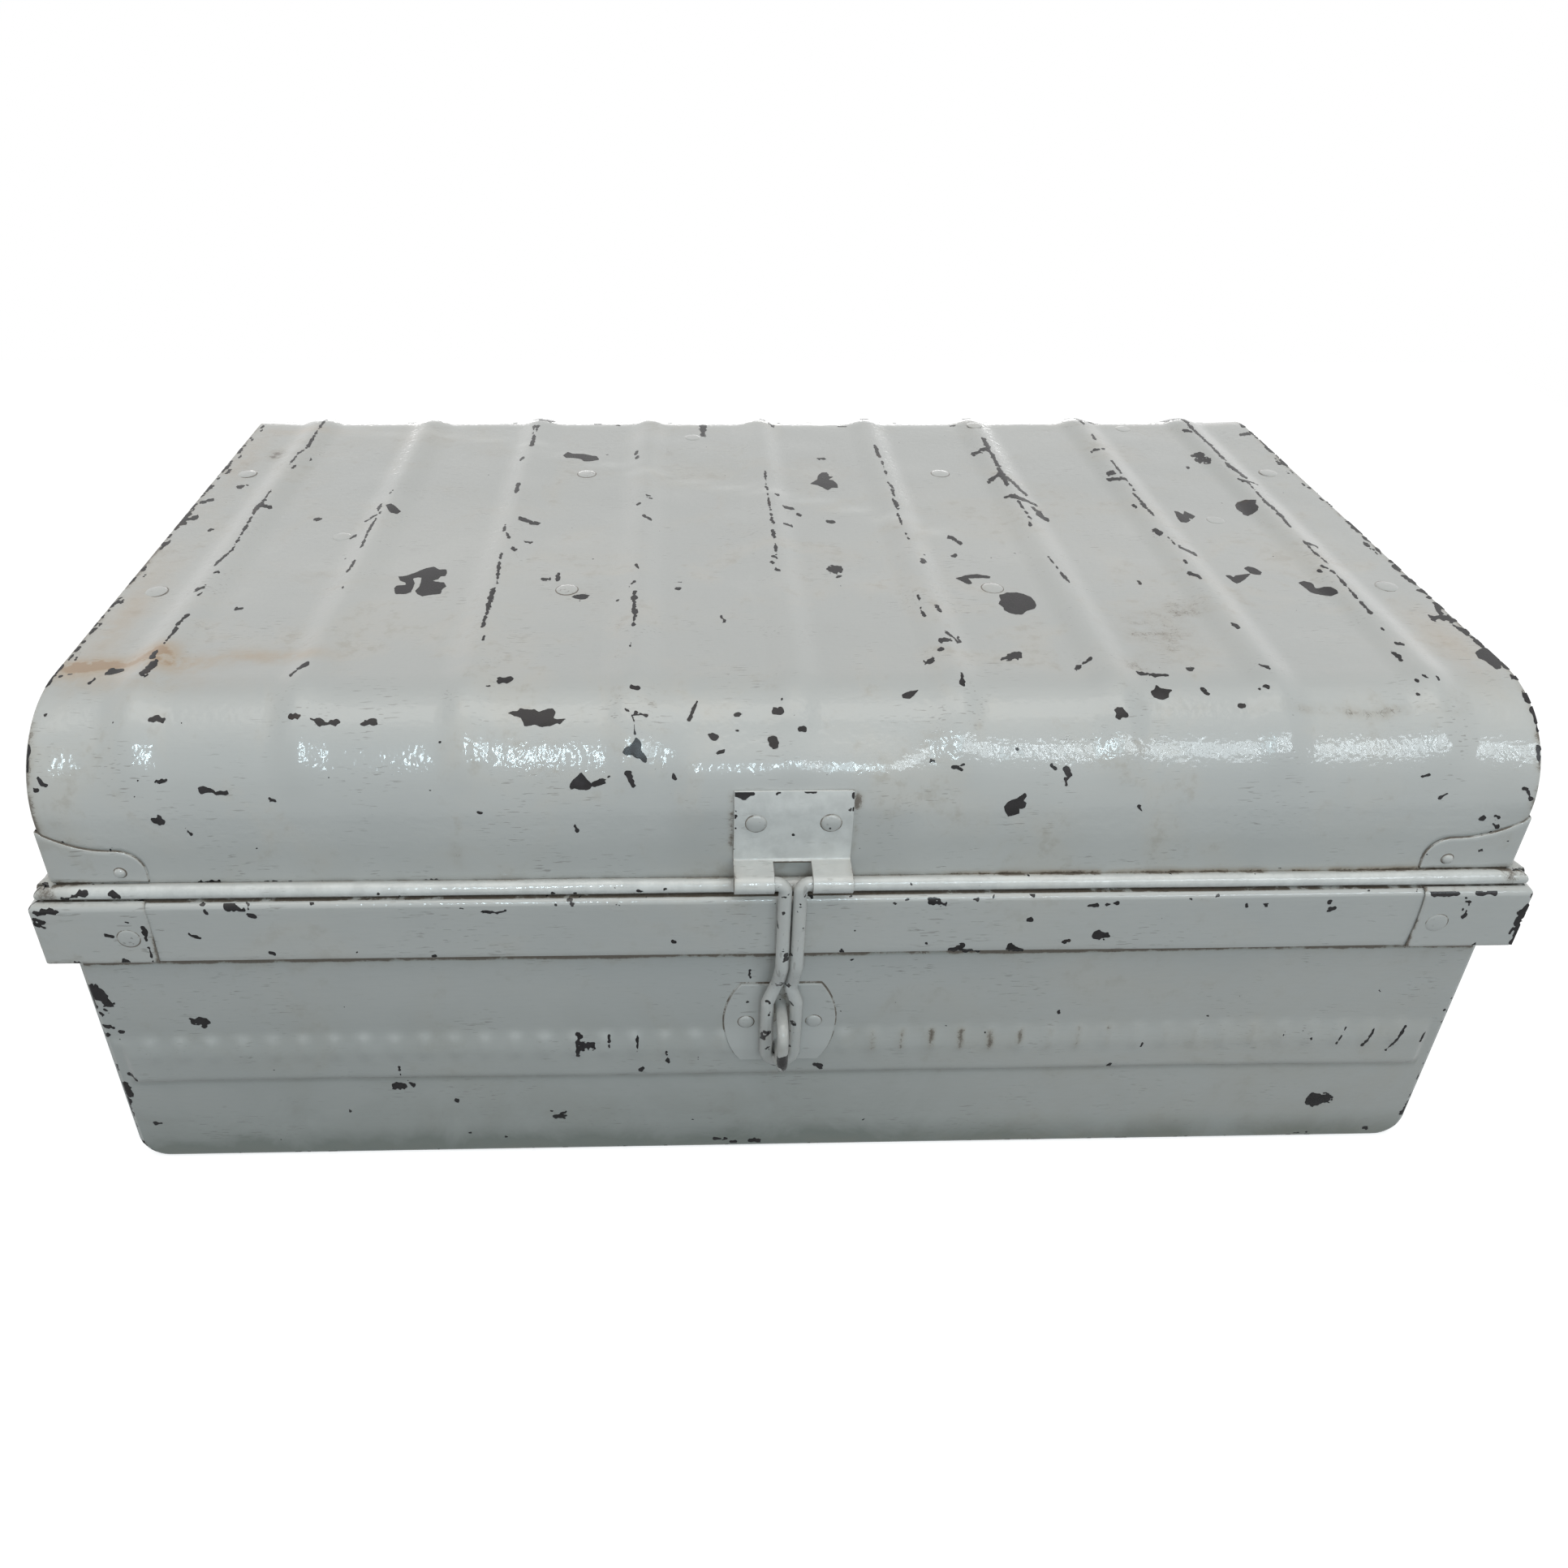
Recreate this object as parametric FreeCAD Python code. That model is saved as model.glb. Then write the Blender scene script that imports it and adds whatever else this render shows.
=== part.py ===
import FreeCAD, Part
import math
import os

V = FreeCAD.Vector
X = V(1, 0, 0)
Y = V(0, 1, 0)
Z = V(0, 0, 1)
CENTRE = V(0, 0, 0)

# A painted steel trunk. Millimetres, +Z up, +X to the right, front towards -Y.
# The origin is on the floor, under the middle of the lid.

# Overall sizes
lid_width = 760.0
lid_depth = 467.0
rim_height = 206.0
lid_front_height = 45.0
sheet = 0.9
lap_gap = 0.1
lap_width = 10.0
seam_gap = 0.3

# Lid pressing
lid_roll_radius = 54.0
lid_fold_radius = 1.5
rib_count = 9
rib_margin = 48.0
rib_width = 30.0
rib_height = 3.5
rib_fade = 1.5

# Wired lower edge of the lid
wire_radius = 3.0
wire_fit = 0.1
lid_gap = 0.3

# Rim of the body, folded out and down into a band
rim_reach = 9.8
band_height = 38.0
shoulder_radius = 3.0
rim_fold_radius = 2.0

# Body pressings
body_reach = 0.8
floor_radius = 16.0
panel_fold_radius = 2.0
swage_below_band = 65.0
swage_width = 37.0
swage_height = 2.2
swage_slope = 3.0
swage_end = 5.0

# Lip inside the rim, which the lid drops over
lip_depth = 22.0
lip_rise = 16.0
lip_clear = 1.6
lip_joggle = 6.0
lip_joggle_drop = 3.0
lip_fold_radius = 1.5
lip_corner = 14.0

# Caps over the rim's corners
cap_sheet = 0.8
cap_length = 58.0
cap_flange = 3.0
cap_rivet_inset = 46.0
cap_rivet_rise = 17.0

# Shaped plates over the lid's corners
corner_sheet = 0.8
corner_length = 49.0
corner_shoulder = 19.0
corner_high = 31.5
corner_round = 13.0
corner_sag = 3.5
corner_rise = 0.5
corner_rivet_inset = 36.5
corner_rivet_rise = 6.0

# Flat bars riveted across the inside of the lid
batten_width = 25.0
batten_thick = 3.0
batten_place = 87.0
batten_end_gap = 2.0
batten_rivet_inset = 20.0

# Hasp: plate on the lid, bent rod, staple on the body
fitting_sheet = 1.5
hasp_x = -1.5
hasp_plate_width = 60.0
hasp_plate_wrap = 17.0
hasp_axis_rise = 10.2
hasp_rod_radius = 3.6
hasp_clear = 0.9
hasp_notch_width = 20.0
hasp_end_gap = 1.5
hasp_bend_radius = 5.5
hasp_kink_radius = 14.0
hasp_kink_gap = 6.0
hasp_kink_run = 16.0
hasp_leg_gap = 0.6
eye_clear = 1.2
eye_spread_run = 12.0
eye_drop = 0.5
eye_rise = 4.0
hasp_rivet_spacing = 38.0
hasp_rivet_drop = 2.0
pivot_fit = 0.08
fold_inner_radius = 1.0

staple_x = -4.0
staple_below_band = 59.0
staple_rod_radius = 3.1
staple_span = 30.0
staple_bend_radius = 8.0
padlock_gap = 9.5
staple_plate_width = 62.0
staple_plate_height = 56.0
staple_plate_flat = 44.0
staple_head_radius = 4.6
staple_head_height = 1.5
staple_rivet_spacing = 38.0

# Hinges on the back
hinge_inset = 170.0
hinge_width = 70.0
hinge_pin_radius = 2.5
hinge_pin_fit = 0.06
hinge_side_gap = 0.4
hinge_tongue_width = 24.0
hinge_leaf_drop = 32.0
hinge_shelf_clear = 0.6
hinge_leaf_wrap = 14.0
hinge_rivet_spacing = 44.0
hinge_lid_rivet_drop = 4.0
hinge_body_rivet_rise = 17.0

# Drop handles on the ends
handle_rod_radius = 4.0
handle_axis_below_band = 42.0
handle_grip_width = 90.0
handle_drop = 62.0
handle_pivot_bend = 8.0
handle_grip_bend = 14.0
handle_plate_width = 24.0
handle_plate_gap = 1.5
handle_plate_below_band = 5.0
handle_rivet_low = 13.0
handle_rivet_high = 29.0

# Rivets: shank radius, head radius and head height for each size
rivet_fit = 0.1
rivet_tail_spread = 1.5
rivet_tail_height = 1.2
hasp_rivet = (2.5, 5.1, 1.6)
staple_rivet = (2.2, 4.3, 1.2)
hinge_rivet = (2.5, 5.1, 1.6)
handle_rivet = (2.5, 4.6, 1.8)
corner_rivet = (1.6, 2.9, 2.0)
cap_rivet = (2.5, 5.6, 0.5)
batten_rivet = (2.5, 6.2, 0.6)

# Places worked out from the sizes above
half_width = lid_width / 2
half_depth = lid_depth / 2
bead_bore = wire_radius + wire_fit
bead_radius = bead_bore + sheet
bead_z = rim_height + lid_gap + bead_radius
face_x = half_width + body_reach
face_y = half_depth + body_reach
band_x = half_width + rim_reach
band_y = half_depth + rim_reach
band_low = rim_height - band_height
roll_z = rim_height + lid_front_height
trunk_height = roll_z + lid_roll_radius
swage_high = band_low - swage_below_band
swage_low = swage_high - swage_width
hasp_axis_z = bead_z + hasp_axis_rise
spare = 20.0
touch = 1e-6


def block(x0, x1, y0, y1, z0, z1):
    return Part.makeBox(x1 - x0, y1 - y0, z1 - z0, V(x0, y0, z0))


def line(start, end):
    return Part.LineSegment(start, end).toShape()


def arc(start, middle, end):
    return Part.Arc(start, middle, end).toShape()


def unit(vector):
    return V(vector).normalize()


def rounded_edges(points, radii):
    """Edges of a path: straight runs, with a tangent arc at each inner point."""
    edges = []
    start = points[0]
    for before, corner, after, radius in zip(points, points[1:], points[2:], radii):
        back = unit(before - corner)
        ahead = unit(after - corner)
        half_angle = back.getAngle(ahead) / 2
        reach = radius / math.tan(half_angle)
        arc_start = corner + back * reach
        arc_end = corner + ahead * reach
        bulge = radius / math.sin(half_angle) - radius
        arc_middle = corner + unit(back + ahead) * bulge
        if start.distanceToPoint(arc_start) > touch:
            edges.append(line(start, arc_start))
        edges.append(arc(arc_start, arc_middle, arc_end))
        start = arc_end
    if start.distanceToPoint(points[-1]) > touch:
        edges.append(line(start, points[-1]))
    return edges


def bent_sheet(points, radii, thickness, along, length):
    """Folded sheet: a path's strip, as thick to the path's left as thickness says, run along a direction."""
    runs = [unit(b - a) for a, b in zip(points, points[1:])]
    sides = [along.cross(run) for run in runs]
    far = [points[0] + sides[0] * thickness]
    far_radii = []
    for corner, run, side, next_run, next_side, radius in zip(
            points[1:], runs, sides, runs[1:], sides[1:], radii):
        both = side + next_side
        far.append(corner + both * (2 * thickness / both.dot(both)))
        left_turn = along.dot(run.cross(next_run)) > 0
        far_radii.append(radius - thickness if left_turn else radius + thickness)
    far.append(points[-1] + sides[-1] * thickness)
    near_edges = rounded_edges(points, radii)
    far_edges = rounded_edges(far, far_radii)
    ends = [line(points[-1], far[-1]), line(far[0], points[0])]
    outline = Part.Wire(Part.__sortEdges__(near_edges + far_edges + ends))
    return Part.Face(outline).extrude(along * length)


def rod(points, radii, radius):
    """Round rod bent along a path."""
    path = Part.Wire(rounded_edges(points, radii))
    section = Part.Wire(Part.makeCircle(radius, points[0], points[1] - points[0]))
    return path.makePipeShell([section], True, False)


def fused(shapes):
    return shapes[0].multiFuse(shapes[1:]).removeSplitter()


def rounded_rim(solid, axis, place, radius):
    """Round every edge of the solid that lies in one plane square to an axis."""
    edges = [
        edge for edge in solid.Edges
        if all(abs(vertex.Point.dot(axis) - place) < touch for vertex in edge.Vertexes)
    ]
    return solid.makeFillet(radius, edges)


def rivet(spot, out, kind, grip):
    """Rivet with a domed head on a face at spot and a flattened tail grip deep behind it."""
    shank, head, rise = kind
    ball = (head ** 2 + rise ** 2) / (2 * rise)
    half_angle = math.asin(head / ball) / 2
    shoulder = V(ball * math.sin(half_angle), 0, rise - ball + ball * math.cos(half_angle))
    tail = shank * rivet_tail_spread
    corners = [
        V(0, 0, rise), V(0, 0, -grip - rivet_tail_height), V(tail, 0, -grip - rivet_tail_height),
        V(tail, 0, -grip), V(shank, 0, -grip), V(shank, 0, 0), V(head, 0, 0),
    ]
    edges = [line(a, b) for a, b in zip(corners, corners[1:])]
    edges.append(arc(corners[-1], shoulder, corners[0]))
    solid = Part.Face(Part.Wire(edges)).revolve(CENTRE, Z, 360)
    solid.Placement = FreeCAD.Placement(spot, FreeCAD.Rotation(Z, out))
    return solid


def pierced(solid, spots, radius):
    """Clear round holes through a sheet at spots, each a place and an outward direction."""
    reach = 2 * fitting_sheet + batten_thick
    holes = [
        Part.makeCylinder(radius + rivet_fit, 2 * reach, spot - out * reach, out)
        for spot, out in spots
    ]
    return solid.cut(Part.Compound(holes))


def mirrored(shape, axis):
    return shape.mirror(CENTRE, axis)


def end_zone(shift):
    """Ground that belongs to the two ends where they meet front and back at a mitre."""
    near = -cap_length - spare
    far = rim_reach + 2 * spare
    solids = []
    for side in (1, -1):
        corners = [
            V(side * (half_width + reach + shift), deep * (half_depth + reach), -spare)
            for reach, deep in ((near, -1), (far, -1), (far, 1), (near, 1))
        ]
        corners.append(corners[0])
        base = Part.Face(Part.makePolygon(corners))
        solids.append(base.extrude(Z * (trunk_height + 2 * spare)))
    return Part.Compound(solids)


def lid_section(inset, low):
    """Outline of the lid seen from its end, drawn in by inset, down to a height."""
    deep = half_depth - inset
    top = trunk_height - inset
    corners = [V(0, -deep, low), V(0, -deep, top), V(0, deep, top), V(0, deep, low)]
    edges = rounded_edges(corners, [lid_roll_radius - inset] * 2)
    edges.append(line(corners[-1], corners[0]))
    return Part.Face(Part.Wire(edges))


def lid_slab(inset, low, x0, x1):
    slab = lid_section(inset, low).extrude(X * (x1 - x0))
    slab.translate(X * x0)
    return slab


def rib_places():
    pitch = (lid_width - 2 * rib_margin) / (rib_count - 1)
    return [-half_width + rib_margin + pitch * i for i in range(rib_count)]


def rib(inset, x):
    """One rib's form, which runs over the top and sinks into the rolled front and back edges."""
    ball = (rib_width ** 2 / 4 + rib_height ** 2) / (2 * rib_height)
    depth = rib_height + 3 * sheet
    half = math.sqrt(2 * ball * depth - depth ** 2)
    crest = trunk_height - inset + rib_height
    flat = half_depth - lid_roll_radius
    fall = lid_roll_radius - inset - rib_fade
    left = V(x - half, -flat, crest - depth)
    right = V(x + half, -flat, crest - depth)
    section = Part.Face(Part.Wire([arc(left, V(x, -flat, crest), right), line(right, left)]))
    bar = section.extrude(Y * 2 * flat)
    front = section.revolve(V(x, -flat, crest - fall), X, 90)
    return [bar, front, mirrored(front, Y)]


def bead_tube(start, along, length):
    tube = Part.makeCylinder(bead_radius, length, start, along)
    return tube.cut(Part.makeCylinder(bead_bore, length, start, along))


def front_bead():
    """The front's wired edge, from mitre to mitre."""
    long = half_width + rim_reach + spare
    tube = bead_tube(V(-long, -half_depth - bead_bore, bead_z), X, 2 * long)
    return tube.cut(end_zone(-seam_gap / 2))


def end_bead():
    """The right end's wired edge, from mitre to mitre."""
    long = half_depth + rim_reach + spare
    tube = bead_tube(V(half_width + bead_bore, -long, bead_z), Y, 2 * long)
    return tube.common(end_zone(seam_gap / 2))


def lid_wrap():
    """Front, top and back of the lid in one sheet, pressed with ribs and wired at both edges."""
    half = half_width - lid_fold_radius
    outer = [lid_slab(0, bead_z, -half, half)]
    inner = [lid_slab(sheet, bead_z - spare, -half - spare, half + spare)]
    for x in rib_places():
        outer += rib(0, x)
        inner += rib(sheet, x)
    shell = outer[0].multiFuse(outer[1:]).cut(inner[0].multiFuse(inner[1:]))
    bead = front_bead()
    return fused([shell, bead, mirrored(bead, Y)])


def lid_right_end():
    """End of the lid: a flat sheet with a lap turned in under the wrap, wired along its lower edge."""
    low = bead_z - spare
    outer = lid_slab(sheet + lap_gap, low, half_width - lap_width, half_width)
    outer = rounded_rim(outer, X, half_width, lid_fold_radius)
    inner = lid_slab(2 * sheet + lap_gap, low - spare, half_width - lap_width - spare, half_width - sheet)
    inner = rounded_rim(inner, X, half_width - sheet, lid_fold_radius - sheet)
    dish = outer.cut(inner)
    dish = dish.cut(block(0, lid_width, -lid_depth, lid_depth, -spare, bead_z))
    return fused([dish, end_bead()])


def edge_wire():
    """Wire rolled into the lid's lower edge, one ring round all four sides."""
    across = half_width + bead_bore
    deep = half_depth + bead_bore
    ends = end_zone(0)
    front = Part.makeCylinder(wire_radius, 2 * (across + spare), V(-across - spare, -deep, bead_z), X)
    right = Part.makeCylinder(wire_radius, 2 * (deep + spare), V(across, -deep - spare, bead_z), Y)
    front = front.cut(ends)
    right = right.common(ends)
    return fused([front, mirrored(front, Y), right, mirrored(right, X)])


def corner_outline(face, along, out):
    """Shaped outline of one leg of a lid corner plate, on a face, from the corner along a direction."""
    low = bead_z + bead_radius + corner_rise
    start = -lap_gap - corner_sheet

    def at(reach, height):
        return face + along * reach + Z * (low + height)

    round_x = corner_length - corner_round
    round_z = corner_shoulder - corner_round
    slant = corner_round * math.sqrt(0.5)
    sag = V(0, 0, -corner_sag)
    edges = [
        line(at(start, 0), at(corner_length, 0)),
        line(at(corner_length, 0), at(corner_length, round_z)),
        arc(at(corner_length, round_z), at(round_x + slant, round_z + slant), at(round_x, corner_shoulder)),
        arc(at(round_x, corner_shoulder), at(round_x / 2, (corner_shoulder + corner_high) / 2) + sag,
            at(0, corner_high)),
        line(at(0, corner_high), at(start, corner_high)),
        line(at(start, corner_high), at(start, 0)),
    ]
    return Part.Face(Part.Wire(edges)).extrude(out * corner_sheet)


def corner_spots():
    """Rivet places of the front right lid corner plate, on the lid's own faces."""
    height = bead_z + bead_radius + corner_rise + corner_rivet_rise
    return [
        (V(half_width - corner_rivet_inset, -half_depth, height), -Y),
        (V(half_width, -half_depth + corner_rivet_inset, height), V(X)),
    ]


def lid_corner_plate():
    """Plate folded round the front right corner of the lid."""
    front = corner_outline(V(half_width, -half_depth - lap_gap, 0), -X, -Y)
    side = corner_outline(V(half_width + lap_gap, -half_depth, 0), Y, X)
    return pierced(fused([front, side]), corner_spots(), corner_rivet[0])


def batten_spots(place):
    """Rivet places of one lid batten: two near its ends, two between ribs."""
    between = 1.5 * (lid_width - 2 * rib_margin) / (rib_count - 1)
    outer = half_width - batten_rivet_inset
    return [(V(x, place, trunk_height), V(Z)) for x in (-outer, -between, between, outer)]


def lid_batten(place):
    half = half_width - lap_width - batten_end_gap
    top = trunk_height - sheet - lap_gap
    bar = block(-half, half, place - batten_width / 2, place + batten_width / 2, top - batten_thick, top)
    return pierced(bar, batten_spots(place), batten_rivet[0])


def knuckle_plate(axis_y, axis_z, bore, shelf_z, wrap_angle, width):
    """Plate on the lid's front: follows the roll, folds out over the bead and curls round a rod."""
    face = half_depth + lap_gap
    roll = lid_roll_radius + lap_gap
    turn = math.radians(wrap_angle)
    lift = roll * math.tan(turn / 2)
    top = V(0, -face + roll - roll * math.cos(turn), roll_z + roll * math.sin(turn))
    points = [
        top,
        V(0, -face, roll_z + lift),
        V(0, -face, shelf_z),
        V(0, axis_y - bore, shelf_z),
        V(0, axis_y - bore, axis_z - bore),
        V(0, axis_y + bore, axis_z - bore),
        V(0, axis_y + bore, axis_z),
    ]
    fold = fold_inner_radius + fitting_sheet
    radii = [roll, fold, bore, bore, bore]
    plate = bent_sheet(points, radii, -fitting_sheet, X, width)
    plate.translate(X * -width / 2)
    return plate


def hasp_axis_y():
    return -(band_y + hasp_clear + hasp_rod_radius)


def hasp_spots():
    offset = hasp_rivet_spacing / 2
    return [(V(hasp_x + side * offset, -half_depth, roll_z - hasp_rivet_drop), -Y) for side in (-1, 1)]


def hasp_plate():
    """Plate on the lid with two knuckles that hold the hasp's turned ends."""
    bore = hasp_rod_radius + pivot_fit
    axis_y = hasp_axis_y()
    plate = knuckle_plate(axis_y, hasp_axis_z, bore, hasp_axis_z + bore, hasp_plate_wrap, hasp_plate_width)
    notch_back = -half_depth - lap_gap - fitting_sheet - fold_inner_radius
    notch = block(
        -hasp_notch_width / 2, hasp_notch_width / 2,
        axis_y - spare, notch_back,
        hasp_axis_z - spare, hasp_axis_z + spare / 2)
    plate = plate.cut(notch)
    plate.translate(X * hasp_x)
    return pierced(plate, hasp_spots(), hasp_rivet[0])


def swage_rise(z):
    """How far the body's pressed band stands proud of the panel at a height."""
    inside = min(z - swage_low, swage_high - z) / swage_slope
    return swage_height * max(0.0, min(1.0, inside))


def staple_z():
    return band_low - staple_below_band


def eye_y():
    """Middle of the hasp rod where its eye lies over the staple plate."""
    return -(face_y + swage_height + lap_gap + fitting_sheet + hasp_clear + hasp_rod_radius)


def hasp():
    """One bent rod: ends turned out into the knuckles, two legs side by side, and an eye."""
    axis_y = hasp_axis_y()
    end = hasp_plate_width / 2 - hasp_end_gap
    leg = hasp_rod_radius + hasp_leg_gap / 2
    loop = staple_rod_radius + eye_clear + hasp_rod_radius
    kink_top = band_low - hasp_kink_gap
    kink_low = kink_top - hasp_kink_run
    staple_reach = staple_span / 2 + staple_rod_radius
    eye_top = staple_z() + staple_reach + eye_rise
    eye_low = staple_z() - staple_span / 2 - eye_drop - loop
    lean = (hasp_x + staple_x) / 2

    def side_points(side):
        return [
            V(hasp_x + side * end, axis_y, hasp_axis_z),
            V(hasp_x + side * leg, axis_y, hasp_axis_z),
            V(hasp_x + side * leg, axis_y, kink_top),
            V(lean + side * leg, eye_y(), kink_low),
            V(staple_x + side * leg, eye_y(), eye_top + eye_spread_run),
            V(staple_x + side * loop, eye_y(), eye_top),
            V(staple_x + side * loop, eye_y(), eye_low),
        ]

    half_radii = [hasp_bend_radius, hasp_kink_radius, hasp_kink_radius, loop, loop]
    points = side_points(-1) + side_points(1)[::-1]
    radii = half_radii + [loop, loop] + half_radii[::-1]
    return rod(points, radii, hasp_rod_radius)


def staple_spots():
    offset = staple_rivet_spacing / 2
    return [(V(staple_x + side * offset, -face_y, staple_z()), -Y) for side in (-1, 1)]


def staple_leg_spots():
    offset = staple_span / 2
    return [(V(staple_x, -face_y, staple_z() + side * offset), -Y) for side in (-1, 1)]


def staple_plate():
    """Plate under the staple: flat top and bottom, bowed sides, dressed down over the pressed band."""
    half_high = staple_plate_height / 2
    half_wide = staple_plate_width / 2
    half_flat = staple_plate_flat / 2
    flat = -face_y - lap_gap
    raised = flat - swage_height
    top = staple_z() + half_high
    low = staple_z() - half_high
    points = [
        V(0, flat, top), V(0, flat, swage_high + lap_gap),
        V(0, raised, swage_high + lap_gap - swage_slope), V(0, raised, low),
    ]
    folds = [fitting_sheet + fold_inner_radius, fold_inner_radius]
    strip = bent_sheet(points, folds, -fitting_sheet, X, staple_plate_width)
    strip.translate(X * (staple_x - half_wide))

    def at(x, z):
        return V(staple_x + x, -face_y - spare, staple_z() + z)

    outline = Part.Wire([
        line(at(-half_flat, half_high), at(half_flat, half_high)),
        arc(at(half_flat, half_high), at(half_wide, 0), at(half_flat, -half_high)),
        line(at(half_flat, -half_high), at(-half_flat, -half_high)),
        arc(at(-half_flat, -half_high), at(-half_wide, 0), at(-half_flat, half_high)),
    ])
    plate = strip.common(Part.Face(outline).extrude(Y * 2 * spare))
    plate = pierced(plate, staple_spots(), staple_rivet[0])
    return pierced(plate, staple_leg_spots(), staple_rod_radius)


def staple():
    """Loop of rod through the plate and the front panel, riveted over inside."""
    front = eye_y() - hasp_rod_radius - padlock_gap - staple_rod_radius
    legs = [staple_z() + side * staple_span / 2 for side in (1, -1)]
    backs = [-face_y + sheet + lap_gap - swage_rise(z) for z in legs]
    points = [
        V(staple_x, backs[0], legs[0]), V(staple_x, front, legs[0]),
        V(staple_x, front, legs[1]), V(staple_x, backs[1], legs[1]),
    ]
    heads = [
        Part.makeCylinder(staple_head_radius, staple_head_height, V(staple_x, back, z), Y)
        for back, z in zip(backs, legs)
    ]
    loop = rod(points, [staple_bend_radius] * 2, staple_rod_radius)
    return fused([loop] + heads)


def rim_strip(face, band, along, place):
    """Rim of one side: wall top folded out into a ledge and down into a band, mitres not yet cut."""
    out = along.cross(Z)
    low = band_low - spare / 2
    points = [
        out * band + Z * band_low,
        out * band + Z * rim_height,
        out * (face - sheet) + Z * rim_height,
        out * (face - sheet) + Z * low,
    ]
    strip = bent_sheet(points, [shoulder_radius, rim_fold_radius], -sheet, along, 2 * place)
    strip.translate(along * -place)
    return strip


def panel_slab(inset, y0, y1):
    """Front panel's outline with rounded lower corners, drawn in by inset, between two depths."""
    half = face_x - sheet - lap_gap - inset
    low = sheet + lap_gap + inset
    radius = floor_radius - sheet - lap_gap - inset
    top = rim_height + spare
    corners = [V(-half, y0, top), V(-half, y0, low), V(half, y0, low), V(half, y0, top)]
    edges = rounded_edges(corners, [radius, radius])
    edges.append(line(corners[-1], corners[0]))
    return Part.Face(Part.Wire(edges)).extrude(Y * (y1 - y0))


def swage(shift):
    """Pressed band across the front panel, as a solid moved back by shift."""
    half = face_x - sheet - lap_gap - panel_fold_radius - swage_end

    def frame(inset, y):
        corners = [
            V(-half + inset, y, swage_low + inset), V(half - inset, y, swage_low + inset),
            V(half - inset, y, swage_high - inset), V(-half + inset, y, swage_high - inset),
        ]
        return Part.makePolygon(corners + corners[:1])

    base = -face_y + shift
    return Part.makeLoft([frame(0, base), frame(swage_slope, base - swage_height)], True, True)


def plain_panel():
    """Front of the body: a flat sheet with laps turned in, a pressed band and its stretch of the rim."""
    front = -face_y
    outer = panel_slab(0, front, front + lap_width)
    outer = rounded_rim(outer, Y, front, panel_fold_radius)
    inner = panel_slab(sheet, front + sheet, front + lap_width + spare)
    inner = rounded_rim(inner, Y, front + sheet, panel_fold_radius - sheet)
    dish = outer.multiFuse([swage(0)]).cut(inner.multiFuse([swage(sheet)]))
    under_ledge = rim_height - sheet - lap_gap
    dish = dish.cut(block(-lid_width, lid_width, -lid_depth, 0, under_ledge, trunk_height))
    rim = rim_strip(face_y, band_y, V(X), band_x + spare).cut(end_zone(-seam_gap / 2))
    return fused([dish, rim])


def cap_spots():
    """Rivet places of the front right rim cap, on the band's own faces."""
    height = band_low + cap_rivet_rise
    return [
        (V(band_x - cap_rivet_inset, -band_y, height), -Y),
        (V(band_x, -band_y + cap_rivet_inset, height), V(X)),
    ]


def hinge_places():
    return [side * (half_width - hinge_inset) for side in (-1, 1)]


def hinge_body_spots(x):
    height = band_low + hinge_body_rivet_rise
    offset = hinge_rivet_spacing / 2
    return [(V(x + side * offset, band_y, height), V(Y)) for side in (-1, 1)]


def hinge_lid_spots(x):
    offset = hinge_rivet_spacing / 2
    return [(V(x + side * offset, half_depth, roll_z - hinge_lid_rivet_drop), V(Y)) for side in (-1, 1)]


def all_corners(spots):
    """Spots of one front right corner, repeated at all four corners."""
    flips = [(1, 1), (-1, 1), (1, -1), (-1, -1)]
    return [
        [(V(spot.x * fx, spot.y * fy, spot.z), V(out.x * fx, out.y * fy, out.z)) for spot, out in spots]
        for fx, fy in flips
    ]


def facing(spots_by_corner, out):
    """Those spots that face one way."""
    return [
        (spot, way) for spots in spots_by_corner for spot, way in spots if way.dot(out) > 0.5
    ]


def body_front_panel():
    panel = pierced(plain_panel(), staple_spots(), staple_rivet[0])
    panel = pierced(panel, staple_leg_spots(), staple_rod_radius)
    return pierced(panel, facing(all_corners(cap_spots()), -Y), cap_rivet[0])


def body_back_panel():
    panel = mirrored(plain_panel(), Y)
    panel = pierced(panel, facing(all_corners(cap_spots()), Y), cap_rivet[0])
    hinge_spots = [spot for x in hinge_places() for spot in hinge_body_spots(x)]
    return pierced(panel, hinge_spots, hinge_rivet[0])


def handle_axis_z():
    return band_low - handle_axis_below_band


def handle_plate_starts():
    """Distances from the middle of an end to the near edge of its two handle plates."""
    return handle_grip_width / 2 + handle_pivot_bend + handle_plate_gap


def handle_spots(side):
    middle = handle_plate_starts() + handle_plate_width / 2
    return [
        (V(side * face_x, y, handle_axis_z() + rise), X * side)
        for y in (-middle, middle) for rise in (handle_rivet_low, handle_rivet_high)
    ]


def body_wrap():
    """Ends and floor of the body in one bent sheet, with the ends' stretches of the rim."""
    inside = face_x - sheet
    top = band_low
    points = [V(-inside, 0, top), V(-inside, 0, sheet), V(inside, 0, sheet), V(inside, 0, top)]
    long = face_y - panel_fold_radius
    trough = bent_sheet(points, [floor_radius - sheet] * 2, sheet, Y, 2 * long)
    trough.translate(Y * -long)
    rim = rim_strip(face_x, band_x, V(Y), band_y + spare).common(end_zone(seam_gap / 2))
    wrap = fused([trough, rim, mirrored(rim, X)])
    caps = all_corners(cap_spots())
    for side in (-1, 1):
        wrap = pierced(wrap, facing(caps, X * side), cap_rivet[0])
        wrap = pierced(wrap, handle_spots(side), handle_rivet[0])
    return wrap


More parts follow.
